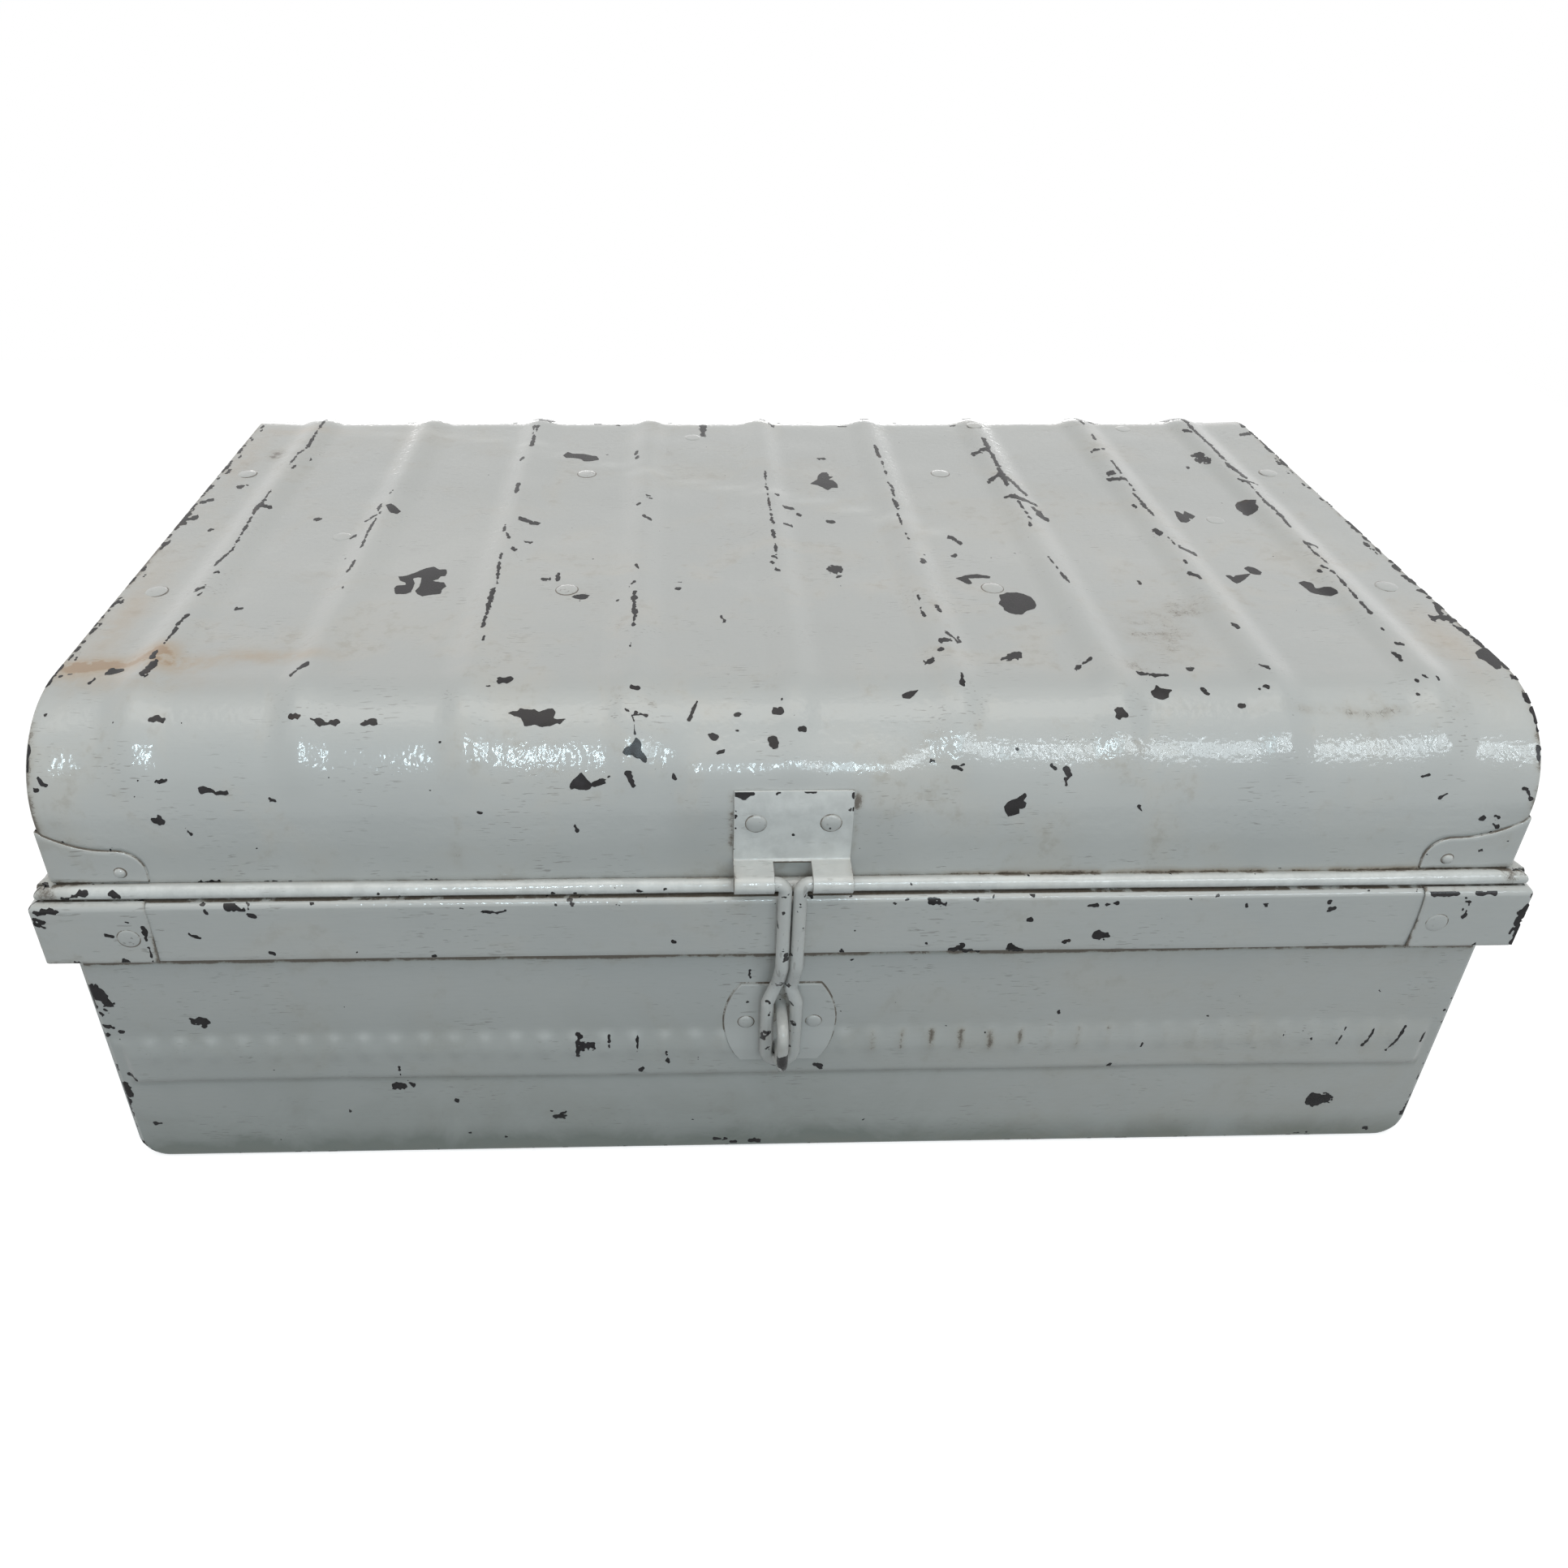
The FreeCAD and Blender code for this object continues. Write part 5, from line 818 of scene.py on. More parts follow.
def build_cap(skin, sx, sy):
    """Cap folded over one corner of the rim; made at the front right and carried over."""
    draw = random.Random(80 + sx + 3 * sy)
    lean = [draw.uniform(-1.6, 1.6) for _ in range(2)]
    thick, corner = 0.8, 2.2
    outer_x, outer_y = BAND_X + CAP_OFF, BAND_Y + CAP_OFF
    shoulder = SHOULDER + CAP_OFF
    low, high = BAND_LOW - 0.1, RIM_Z - SHOULDER
    rows = [(thick, low + 0.3), (0.6, low), (0.2, low), (0.0, low + 0.3)]
    rows += [(0.0, z) for z in np.linspace(low + 1.5, high, 12)]
    rows += [(shoulder * (1 - math.cos(t)), high + shoulder * math.sin(t)) for t in quarter(8)[1:]]
    rows += [(shoulder + 0.1, RIM_Z + CAP_OFF - 0.3), (shoulder, RIM_Z + 0.1)]
    inset, z = np.array(rows).T
    middle, r = np.maximum(corner, inset), np.maximum(corner - inset, 0.0)
    sway = np.sin((z - BAND_LOW) / 38 * 3.0)
    legs = np.linspace(0, 1, 26)
    columns, rims = [], []
    for t in legs:
        start, end = BAND_X - CAP_LEG + lean[0] * sway * (1 - t), outer_x - middle
        columns.append(stack(start + (end - start) * t, -outer_y + inset, z))
        rims.append(bell(t, 0.03))
    for t in quarter(9)[1:-1]:
        columns.append(stack(outer_x - middle + r * math.sin(t), -outer_y + middle - r * math.cos(t), z))
        rims.append(0.0)
    for t in legs:
        start, end = -outer_y + middle, -BAND_Y + CAP_LEG + lean[1] * sway * t
        columns.append(stack(outer_x - inset, start + (end - start) * t, z))
        rims.append(bell(1 - t, 0.03))
    columns = [columns[0] + [0, thick, 0]] + columns + [columns[-1] - [thick, 0, 0]]
    rims = np.array([rims[0]] + rims + [rims[-1]])[:, None]
    dirt = rims + 0.5 * bell(z - low, 2.0) + 0.5 * (z > RIM_Z)
    wear = 0.42 * bell(np.arange(len(columns)) - 31.5, 5.0)[:, None]
    skin.grid(np.array(columns) * [sx, -sy, 1.0], flip=sx * -sy < 0, dirt=dirt, wear=wear)


def build_corner_plate(skin, sx, sy):
    """Plate folded round one lower corner of the lid."""
    length, shoulder, high, round_off, sag, fold = 49.0, 19.0, 31.5, 13.0, 3.5, 1.4
    low = BEAD_Z + BEAD_R + 0.5
    hollow = steps(0.0, length - round_off, 3.0)
    turn = quarter(9)[1:]
    t = hollow / (length - round_off)
    line = high + (shoulder - high) * t - 4 * sag * t * (1 - t)
    reach = np.concatenate([hollow, length - round_off + round_off * np.sin(turn)])
    height = np.concatenate([line, shoulder - round_off + round_off * np.cos(turn)])
    leg = [(u, h) for u, h in zip(reach, height) if u > fold]
    v = np.linspace(0, 1, 10)
    x0, y0 = HALF_X + LAP, -HALF_Y - LAP
    columns = [stack(x0 - u, y0, low + h * v) for u, h in leg[::-1]]
    columns += [
        stack(x0 - fold + fold * math.sin(a), y0 + fold - fold * math.cos(a), low + high * v) for a in quarter(5)]
    columns += [stack(x0, y0 + u, low + h * v) for u, h in leg]
    skin.plate(
        np.array(columns) * [sx, -sy, 1.0], 0.8, flip=sx * -sy < 0, edge_dirt=1.1, fringe=0.7,
        dirt=0.7 * bell(v, 0.08), wear=0.05)


def knuckle_path(axis_y, axis_z, bore, shelf, wrap):
    """Side view of a plate on the lid's front that folds out over the bead and curls round a rod."""
    face = HALF_Y + LAP
    roll = ROLL + LAP
    turn = math.radians(wrap)
    points = [
        (0, -face + roll - roll * math.cos(turn), ROLL_Z + roll * math.sin(turn)),
        (0, -face, ROLL_Z + roll * math.tan(turn / 2)), (0, -face, shelf), (0, axis_y - bore, shelf),
        (0, axis_y - bore, axis_z - bore), (0, axis_y + bore, axis_z - bore), (0, axis_y + bore, axis_z)]
    return bend(points, [roll, 2.5, bore, bore, bore], 1.2)


def with_stops(middle, half, gap, step):
    """Places across a plate, with one on both ends of the gap in its middle."""
    stops = [middle - gap, middle + gap]
    values = [v for v in steps(middle - half, middle + half, step) if all(abs(v - stop) > step * 0.4 for stop in stops)]
    return np.array(sorted(values + stops))


def curled_plate(skin, path, xs, gaps, side, flip, **marks):
    """A plate along a side view and across xs, without the parts that gaps take out."""
    points = np.array([[(x, side * p[1], p[2]) for p in path] for x in xs])
    middle_x = (xs[1:] + xs[:-1]) / 2
    middle = (path[1:] + path[:-1]) / 2
    keep = np.ones((len(xs) - 1, len(path) - 1), bool)
    for low, high, columns in gaps:
        keep[np.ix_((middle_x > low) & (middle_x < high), columns(middle))] = False
    skin.plate(points, PLATE, flip, keep=keep, **marks)


def in_knuckle(places):
    return places[:, 1] < KNUCKLE_Y


def hasp_plate_path():
    return knuckle_path(HASP_Y, HASP_Z, HASP_BORE, HASP_Z + HASP_BORE, 17)


def build_hasp_plate(skin):
    path = hasp_plate_path()
    half, gap = 30, 10
    xs = with_stops(HASP_X, half, gap, 2.0)
    edge = bell(1 - np.abs((xs - HASP_X) / half), 0.06)[:, None]
    fold = bell(path[:, 2] - HASP_Z - HASP_BORE, 2.0)
    curled_plate(
        skin, path, xs, [(HASP_X - gap, HASP_X + gap, in_knuckle)], 1, True,
        dirt=0.3 * edge + 0.25 * fold, wear=0.2 * edge, edge_dirt=1.0, pale=0.85)


HINGE_HALF, HINGE_STEP = 35, 2.4
FITTING_MARKS = {"edge_dirt": 0.7, "wear": 0.2, "dirt": 0.1}


def build_hinge_lid_leaf(skin, x):
    path = knuckle_path(-HINGE_Y, BEAD_Z, HINGE_BORE, BEAD_Z + BEAD_R + 0.6, 14)
    gaps = [(x - 36, x - 12, in_knuckle), (x + 12, x + 36, in_knuckle)]
    curled_plate(skin, path, with_stops(x, HINGE_HALF, 12, HINGE_STEP), gaps, -1, False, **FITTING_MARKS)


def build_hinge_body_leaf(skin, x):
    b, gap = HINGE_BORE, 12.4
    points = [
        (0, HINGE_Y - b, 174.0), (0, HINGE_Y - b, BEAD_Z + b), (0, HINGE_Y + b, BEAD_Z + b),
        (0, HINGE_Y + b, BEAD_Z - b), (0, HINGE_Y, BEAD_Z - b)]
    swing = BEAD_Z - (b + PLATE + 0.4)
    gaps = [(x - gap, x + gap, lambda places: places[:, 2] > swing)]
    curled_plate(
        skin, bend(points, [b] * 3, 1.2), with_stops(x, HINGE_HALF, gap, HINGE_STEP), gaps, 1, False, **FITTING_MARKS)


def build_staple_plate(skin):
    flat, raised = -FACE_Y - LAP, -FACE_Y - LAP - SWAGE_RISE
    tall, wide, bow = 28, 31, 9
    points = [
        (0, flat, STAPLE_Z + tall), (0, flat, SWAGE_HIGH + 1.5), (0, raised, SWAGE_HIGH - 13),
        (0, raised, STAPLE_Z - tall)]
    path = bend(points, [25.0, 25.0], 1.5)
    ball = (tall ** 2 + bow ** 2) / (2 * bow)
    half = wide - ball + np.sqrt(ball ** 2 - (path[:, 2] - STAPLE_Z) ** 2)
    x = STAPLE_X + np.linspace(-1, 1, 31)[:, None] * half
    skin.plate(
        stack(x, path[:, 1], path[:, 2]), PLATE, flip=True, edge_dirt=1.2, fringe=0.8,
        dirt=bell(x - STAPLE_X, 9) * 0.6, wear=0.05)


def build_handle_plate(skin, sx, sy):
    b = HANDLE_R + 0.08
    points = [
        (HANDLE_X - b, 0, 163.0), (HANDLE_X - b, 0, HANDLE_Z - b), (HANDLE_X + b, 0, HANDLE_Z - b),
        (HANDLE_X + b, 0, HANDLE_Z + b), (HANDLE_X, 0, HANDLE_Z + b)]
    path = bend(points, [b] * 3, 1.4)
    y = sy * np.linspace(54.5, HANDLE_END, 13)[:, None]
    skin.plate(stack(sx * path[:, 0], y, path[:, 2]), PLATE, flip=sx * sy < 0, **FITTING_MARKS)


def build_hasp(skin):
    leg, loop = 3.9, 7.9
    eye_top = STAPLE_Z + 18.1 + 4
    eye_low = STAPLE_Z - STAPLE_HALF - 0.5 - loop
    lean = (HASP_X + STAPLE_X) / 2

    def half(side):
        return [
            (HASP_X + side * 28.5, HASP_Y, HASP_Z), (HASP_X + side * leg, HASP_Y, HASP_Z),
            (HASP_X + side * leg, HASP_Y, 162.0), (lean + side * leg, EYE_Y, 146.0),
            (STAPLE_X + side * leg, EYE_Y, eye_top + 12), (STAPLE_X + side * loop, EYE_Y, eye_top),
            (STAPLE_X + side * loop, EYE_Y, eye_low)]

    radii = [5.5, 14.0, 14.0, loop, loop]
    path = bend(half(-1) + half(1)[::-1], radii + [loop, loop] + radii[::-1], 1.4)
    # The rod's upper part is lightened through the pale mark, a painted highlight; lower down it is dirtier and more
    # worn.
    low = smooth((150 - path[:, 2]) / 60)
    skin.tube(path, HASP_R, 22, wear=0.2 + 0.16 * low, dirt=0.1 + 0.2 * low, pale=0.4 * (1 - low))


def build_staple(skin):
    front = -258.8
    ends = list(zip((STAPLE_Z + STAPLE_HALF, STAPLE_Z - STAPLE_HALF), STAPLE_BACKS))
    (high, back_high), (low, back_low) = ends
    points = [
        (STAPLE_X, back_high, high), (STAPLE_X, front, high), (STAPLE_X, front, low), (STAPLE_X, back_low, low)]
    path = bend(points, [8.0, 8.0], 1.2)
    tip = smooth((-250 - path[:, 1]) / 9)
    skin.tube(path, STAPLE_R, wear=0.15 + 0.45 * tip * smooth((STAPLE_Z + 6 - path[:, 2]) / 12), dirt=0.3)
    for z, back in ends:
        profile = [(AXIS, 1.5), (2.6, 1.4), (4.2, 0.8), (4.6, 0.0), (AXIS, 0.0)]
        skin.lathe((STAPLE_X, back, z), (0, 1, 0), profile, dirt=[0, 0, 0.2, 0.7, 0.7])


def build_handle(skin, side):
    x, reach, drop = side * HANDLE_X, 45, HANDLE_Z - 62
    points = [
        (x, -HANDLE_END, HANDLE_Z), (x, -reach, HANDLE_Z), (x, -reach, drop),
        (x, reach, drop), (x, reach, HANDLE_Z), (x, HANDLE_END, HANDLE_Z)]
    path = bend(points, [8.0, 14.0, 14.0, 8.0], 1.8)
    skin.tube(path, HANDLE_R, 22, wear=0.16 + 0.15 * smooth((80 - path[:, 2]) / 15), dirt=0.15)


JOIN = 1.5  # how far apart strokes begin to run together


def outline_gap(outline, x, s):
    """Distance of points from an outline, less than nothing inside it."""
    gap = np.full(np.broadcast(x, s).shape, 1e9)
    inside = np.zeros(gap.shape, bool)
    for (ax, az), (bx, bz) in zip(outline, outline[1:] + outline[:1]):
        dx, dz = bx - ax, bz - az
        t = np.clip(((x - ax) * dx + (s - az) * dz) / (dx * dx + dz * dz + TINY), 0, 1)
        gap = np.minimum(gap, np.hypot(x - ax - t * dx, s - az - t * dz))
        if az != bz:
            inside ^= ((s < az) != (s < bz)) & (x < ax + (s - az) * dx / dz)
    return np.where(inside, -gap, gap)


def bare_patches(skin, rows, place, half, low, high, seed, flip=False, outlines=(), step=0.55, middle=0.0):
    """Bare metal where paint has come off: ragged patches, as thin closed flakes on a surface."""
    lift, sink = 0.12, -0.3
    start = np.array([middle - half, low])
    xs = np.arange(start[0], middle + half + step, step)
    ss = np.arange(low, high + step, step)
    field = np.full((len(xs), len(ss)), 9.0)
    rough = 0.75 * speckle(field.shape, 1.3 / step, seed) + 0.8 * speckle(field.shape, 4.0 / step, seed + 1)

    def window_of(corners, pad):
        corners = np.array(corners, float)
        first = np.maximum(0, ((corners.min(0) - pad - start) / step).astype(int))
        last = np.maximum(0, ((corners.max(0) + pad - start) / step).astype(int))
        return slice(first[0], last[0]), slice(first[1], last[1])

    for ax, az, bx, bz, radius, *more in rows:
        stretch = more[0] if more else 1.0
        pad = 2.2 * radius + 2.5
        window = window_of([(ax, az), (bx, bz)], np.array([pad, pad * stretch]))
        old = field[window]
        if old.size == 0:
            continue
        dx, dz = bx - ax, (bz - az) / stretch
        px, pz = xs[window[0], None] - ax, (ss[None, window[1]] - az) / stretch
        t = np.clip((px * dx + pz * dz) / (dx * dx + dz * dz + TINY), 0, 1)
        gap = np.hypot(px - t * dx, pz - t * dz) - radius
        gap = gap + rough[window] * min(2.0, 0.62 + 0.30 * radius)
        near = np.clip(0.5 + 0.5 * (old - gap) / JOIN, 0, 1)
        field[window] = old + (gap - old) * near - JOIN * near * (1 - near)
    for outline in outlines:
        window = window_of(outline, 3)
        gap = outline_gap(outline, xs[window[0], None], ss[None, window[1]]) + 0.3 * rough[window]
        field[window] = np.minimum(field[window], gap)
    bare = field < 0
    places = []
    known = {}

    def corner(i, j):
        key = (i, j)
        if key not in known:
            known[key] = len(places)
            places.append((xs[i], ss[j]))
        return known[key]

    def crossing(i, j, k, l):
        key = (min((i, j), (k, l)), max((i, j), (k, l)))
        if key not in known:
            known[key] = len(places)
            a, b = field[i, j], field[k, l]
            t = min(0.96, max(0.04, a / (a - b)))
            places.append((xs[i] + (xs[k] - xs[i]) * t, ss[j] + (ss[l] - ss[j]) * t))
        return known[key]

    faces = []
    for i, j in np.argwhere(bare[:-1, :-1] | bare[1:, :-1] | bare[1:, 1:] | bare[:-1, 1:]).tolist():
        around = [(i, j), (i + 1, j), (i + 1, j + 1), (i, j + 1)]
        face = []
        for here, there in zip(around, around[1:] + around[:1]):
            if bare[here]:
                face.append(corner(*here))
            if bare[here] != bare[there]:
                face.append(crossing(*here, *there))
        faces.append(face[::-1] if flip else face)
    flat = np.array(places)
    top, under = (skin.add(place(flat[:, 0], flat[:, 1], height), {}) for height in (lift, sink))
    for face in faces:
        skin.faces.append([top + k for k in face])
        skin.faces.append([under + k for k in face[::-1]])
    for a, b in border_of(faces):
        skin.faces.append([top + b, top + a, under + a, under + b])


def scatter(seed, count, low, high, large=0.12):
    """Strokes for the sides that the photograph doesn't show: many small, a few large."""
    draw = random.Random(seed)
    rows = []
    for _ in range(count):
        x, z = draw.uniform(low[0], high[0]), draw.uniform(low[1], high[1])
        big = draw.random() < large
        radius = draw.uniform(1.8, 4.2) if big else draw.uniform(0.45, 1.2)
        reach = draw.uniform(1, 9) if big else draw.uniform(0, 4)
        turn = draw.uniform(0, math.pi)
        rows.append((x, z, x + reach * math.cos(turn), z + reach * math.sin(turn), radius))
    return rows


def edge_run(seed, count, axis, place, low, high, spread=1.0):
    """Short strokes that follow one edge, along x or along the second coordinate."""
    draw = random.Random(seed)
    rows = []
    for _ in range(count):
        a = draw.uniform(low, high)
        off = place + draw.uniform(-spread, spread)
        reach = draw.uniform(1, 7)
        radius = draw.uniform(0.4, 1.1)
        rows.append((a, off, a + reach, off, radius) if axis == 0 else (off, a, off, a + reach, radius))
    return rows


# These carry patches onto surfaces, raised by lift. All but on_bead give a function that does so.
def on_band(side):
    def place(x, z, lift):
        cap = np.where(np.abs(x) > BAND_X - CAP_LEG, CAP_OFF, 0.0)
        x = np.clip(x, -BAND_X - 0.6, BAND_X + 0.6)
        up = np.clip((z - RIM_Z + SHOULDER) / (SHOULDER + cap), 0, 1)
        wave = (cap == 0) * band_wave(x, BAND_SEED[side])
        out = BAND_OUT - SHOULDER + (SHOULDER + cap) * np.sqrt(1 - up ** 2) + wave
        return stack(x, side * (HALF_Y + out + lift), z)
    return place


def on_end_band(side):
    def place(y, z, lift):
        cap = np.where(np.abs(y) > BAND_Y - CAP_LEG, CAP_OFF, 0.0)
        up = np.clip((z - (RIM_Z - SHOULDER)) / SHOULDER, 0, 1)
        out = BAND_OUT - SHOULDER + SHOULDER * np.sqrt(1 - up ** 2) + band_wave(y, END_BAND_SEED[side])
        return stack(side * (HALF_X + out + cap + lift), y, z)
    return place


def on_panel(side):
    def place(x, z, lift):
        x = np.clip(x, -PANEL_X + 0.05, PANEL_X - 0.05)
        fold = np.clip(np.abs(x) - (PANEL_X - PANEL_FOLD), 0, PANEL_FOLD)
        out = panel_face(x, z, side) - (PANEL_FOLD - np.sqrt(PANEL_FOLD ** 2 - fold ** 2))
        return stack(x, side * (out + lift), z)
    return place


def on_end(side, out):
    return lambda y, z, lift: stack(side * (out + lift), y, z)


def on_bead(x, z, lift):
    off = np.clip(z - BEAD_Z, -3.9, 3.9)
    out = np.sqrt(BEAD_R ** 2 - off ** 2)
    grow = (BEAD_R + lift) / BEAD_R
    return stack(x, -(HALF_Y + BEAD_OUT + out * grow), BEAD_Z + off * grow)


def on_hasp_plate():
    path = hasp_plate_path()
    run = np.concatenate([[0.0], np.cumsum(np.linalg.norm(np.diff(path, axis=0), axis=1))])
    ahead = np.gradient(path, axis=0)
    ahead /= np.linalg.norm(ahead, axis=1, keepdims=True)

    def place(x, s, lift):
        y, z, dy, dz = (np.interp(s, run, row) for row in (path[:, 1], path[:, 2], ahead[:, 1], ahead[:, 2]))
        return stack(x, y + dz * (PLATE + lift), z - dy * (PLATE + lift))
    return place


class Nodes:
    """Short hand for building the nodes of a material or the world."""

    def __init__(self, owner):
        owner.use_nodes = True
        self.tree = owner.node_tree
        self.tree.nodes.clear()

    def put(self, socket, value):
        if isinstance(value, bpy.types.NodeSocket):
            self.tree.links.new(value, socket)
        else:
            socket.default_value = value

    def add(self, kind, inputs=None, **settings):
        node = self.tree.nodes.new("ShaderNode" + kind)
        for key, value in settings.items():
            setattr(node, key, value)
        for key, value in (inputs or {}).items():
            self.put(node.inputs[key], value)
        return node

    def output(self, shader, kind="Material"):
        self.add("Output" + kind, {"Surface": shader.outputs[0]})

    def coords(self):
        return self.add("TexCoord").outputs["Object"]

    def mark(self, name):
        return self.add("Attribute", attribute_name=name).outputs["Fac"]

    def noise(self, scale, detail, rough, distortion=0.0):
        """Noise over the object, its scale in features per metre along x, y and z."""
        scale = scale if isinstance(scale, tuple) else (scale,) * 3
        vector = self.add("Mapping", {"Vector": self.coords(), "Scale": scale}).outputs["Vector"]
        return self.add("TexNoise", {
            "Vector": vector, "Scale": 1.0, "Detail": detail, "Roughness": rough,
            "Distortion": distortion}).outputs["Fac"]

    def math(self, kind, a, b=0.0, clamp=False):
        return self.add("Math", {0: a, 1: b}, operation=kind, use_clamp=clamp).outputs["Value"]

    def times(self, a, b, clamp=False):
        return self.math("MULTIPLY", a, b, clamp)

    def plus(self, a, b):
        return self.math("ADD", a, b)

    def span(self, value, low, high, to_low=0.0, to_high=1.0):
        """Eases a value from one range to another."""
        return self.add("MapRange", {
            "Value": value, "From Min": low, "From Max": high, "To Min": to_low, "To Max": to_high},
            interpolation_type="SMOOTHSTEP").outputs["Result"]

    def mix(self, factor, a, b):
        node = self.add("Mix", {"Factor": factor}, data_type="RGBA")
        for value, socket in zip((a, b), [socket for socket in node.inputs if socket.type == "RGBA"]):
            self.put(socket, value + (1.0,) if isinstance(value, tuple) else value)
        return next(socket for socket in node.outputs if socket.type == "RGBA")

    def bump(self, height, distance, strength, **more):
        return self.add("Bump", {
            "Strength": strength, "Distance": distance, "Height": height, **more}).outputs["Normal"]

    def seen(self):
        """1 for rays that show a thing, straight or in a reflection, 0 for those that only carry its light."""
        rays = self.add("LightPath").outputs
        return self.math("MAXIMUM", self.math(
            "MAXIMUM", rays["Is Camera Ray"], rays["Is Glossy Ray"]), rays["Is Transmission Ray"])


PAINT = (0.486, 0.491, 0.474)
PAINT_WARM = (0.510, 0.492, 0.450)
PAINT_COOL = (0.453, 0.463, 0.451)
PAINT_RUBBED_AND_HIGHLIGHT = (0.72, 0.73, 0.71)
BRUSH_LINE = (0.36, 0.365, 0.355)
FLECK = (0.14, 0.125, 0.11)
PAINTED_SHADE = (0.200, 0.220, 0.200)
GRIME = (0.085, 0.065, 0.048)
GRIME_PALE = (0.300, 0.262, 0.205)
RUST_PALE = (0.430, 0.300, 0.170)
RUST_DEEP = (0.280, 0.150, 0.065)
BARE = (0.003, 0.0025, 0.003)
BARE_LIGHT = (0.014, 0.012, 0.014)


def paint(name, streak, warm, worn, grain, ridge):
    """Old brushed paint: brush marks, faint stains, grime, rust runs and flaked spots, rubbed paint and painted
    highlights from the pale mark, and painted shade from the shade mark.
    """
    material = bpy.data.materials.new(name)
    n = Nodes(material)
    tone = n.noise(4.5, 4.0, 0.6)
    stain = n.noise(17.0, 5.0, 0.62, 0.6)
    fine = n.noise(95.0, 4.0, 0.65)
    blotch = n.plus(stain, fine)
    brush = n.noise(streak, 3.0, 0.6)
    fleck = n.noise(tuple(v * 1.7 for v in streak), 1.0, 0.5)
    gate = n.noise(26.0, 3.0, 0.6)
    colour = n.mix(n.span(tone, 0.36, 0.64), PAINT_COOL, PAINT)
    colour = n.mix(n.times(n.span(stain, 0.46, 0.72), 0.6 * warm), colour, PAINT_WARM)
    colour = n.mix(n.times(n.span(n.times(stain, fine), 0.29, 0.44), 0.32 * warm), colour, GRIME_PALE)
    colour = n.mix(n.span(brush, 0.30, 0.60, grain, 0.0), colour, BRUSH_LINE)
    dashes = n.times(n.span(fleck, 0.645, 0.70), n.span(gate, 0.48, 0.64))
    colour = n.mix(n.times(dashes, 0.5), colour, FLECK)
    # The pale mark is rubbed paint, and in places a painted highlight: on the bead's face, the flutes' crests and the
    # hasp rod.
    colour = n.mix(n.times(n.mark("pale"), n.span(fine, 0.3, 0.7, 0.3, 0.75)), colour, PAINT_RUBBED_AND_HIGHLIGHT)
    # The shade mark is painted shade: the paint is darkened towards PAINTED_SHADE where shadow falls.
    colour = n.mix(n.times(n.mark("shade"), n.span(stain, 0.3, 0.7, 0.5, 0.85), clamp=True), colour, PAINTED_SHADE)
    rust = n.times(n.mark("rust"), n.span(blotch, 0.66, 1.1, 0.15, 1.25), clamp=True)
    colour = n.mix(n.times(rust, 0.8), colour, RUST_PALE)
    colour = n.mix(n.span(rust, 0.75, 1.0, 0.0, 0.5), colour, RUST_DEEP)
    dirt = n.span(n.times(n.mark("dirt"), n.span(blotch, 0.70, 1.25, 0.25, 1.2)), 0.04, 1.05)
    colour = n.mix(n.times(dirt, 0.6), colour, GRIME_PALE)
    colour = n.mix(n.span(dirt, 0.45, 1.0, 0.0, 0.85), colour, GRIME)
    veins = n.math("ABSOLUTE", n.math("SUBTRACT", n.noise(150.0, 4.0, 0.6, 0.5), 0.5))
    colour = n.mix(n.times(n.span(veins, 0.0, 0.022, 0.75, 0.0), n.span(dirt, 0.2, 0.6)), colour, GRIME)
    flake = n.plus(n.times(n.mark("wear"), 0.42), n.times(n.noise(160.0, 2.0, 0.5), 0.9))
    flake = n.span(n.plus(flake, worn), 0.70, 0.715)
    colour = n.mix(flake, colour, BARE)
    rough = n.span(n.plus(brush, tone), 0.7, 1.3, 0.30, 0.42)
    rough = n.plus(rough, n.times(n.plus(dirt, flake), 0.25))
    normal = n.bump(n.plus(brush, n.times(n.plus(flake, dashes), -0.8)), 0.00025, ridge)
    gloss = n.bump(n.noise(300.0, 1.0, 0.5), 0.00045, 0.6, Normal=normal)
    n.output(n.add("BsdfPrincipled", {
        "Base Color": colour, "Roughness": rough, "Normal": normal, "Specular IOR Level": 0.2,
        "Coat Weight": 1.0, "Coat Roughness": 0.1, "Coat Normal": gloss}))
    return material


def metal(name, dark, light, rough, metallic):
    """Bare or worn steel: dull, mottled, with a breath of rust."""
    material = bpy.data.materials.new(name)
    n = Nodes(material)
    mottle = n.noise(120.0, 5.0, 0.65)
    colour = n.mix(n.span(mottle, 0.35, 0.68), dark, light)
    colour = n.mix(n.span(n.noise(30.0, 3.0, 0.6), 0.60, 0.78, 0.0, 0.10), colour, RUST_DEEP)
    n.output(n.add("BsdfPrincipled", {
        "Base Color": colour, "Metallic": metallic, "Specular IOR Level": 0.36,
        "Roughness": n.span(mottle, 0.3, 0.7, rough - 0.08, rough + 0.1), "Normal": n.bump(mottle, 0.0002, 0.4)}))
    return material


# Brush strokes by their features per metre, then warmth of the stains, wear, grain and depth of the brush marks.
ALONG_X, ALONG_Y = (75.0, 700.0, 700.0), (700.0, 75.0, 700.0)
lid_paint = paint("lid_paint_brushed", ALONG_X, 1.0, 0.0, 0.03, 0.12)
end_paint = paint("end_paint_brushed", ALONG_Y, 0.8, 0.0, 0.08, 0.3)
body_paint = paint("body_paint_brushed", ALONG_X, 0.55, 0.0, 0.08, 0.25)
inside_paint = paint("lip_paint", ALONG_X, 0.8, 0.01, 0.08, 0.3)
fitting_paint = paint("fitting_paint_brushed", (60.0, 300.0, 300.0), 0.6, 0.012, 0.05, 0.25)
rod_paint = paint("rod_paint_worn", (220.0, 220.0, 60.0), 0.5, 0.03, 0.05, 0.25)
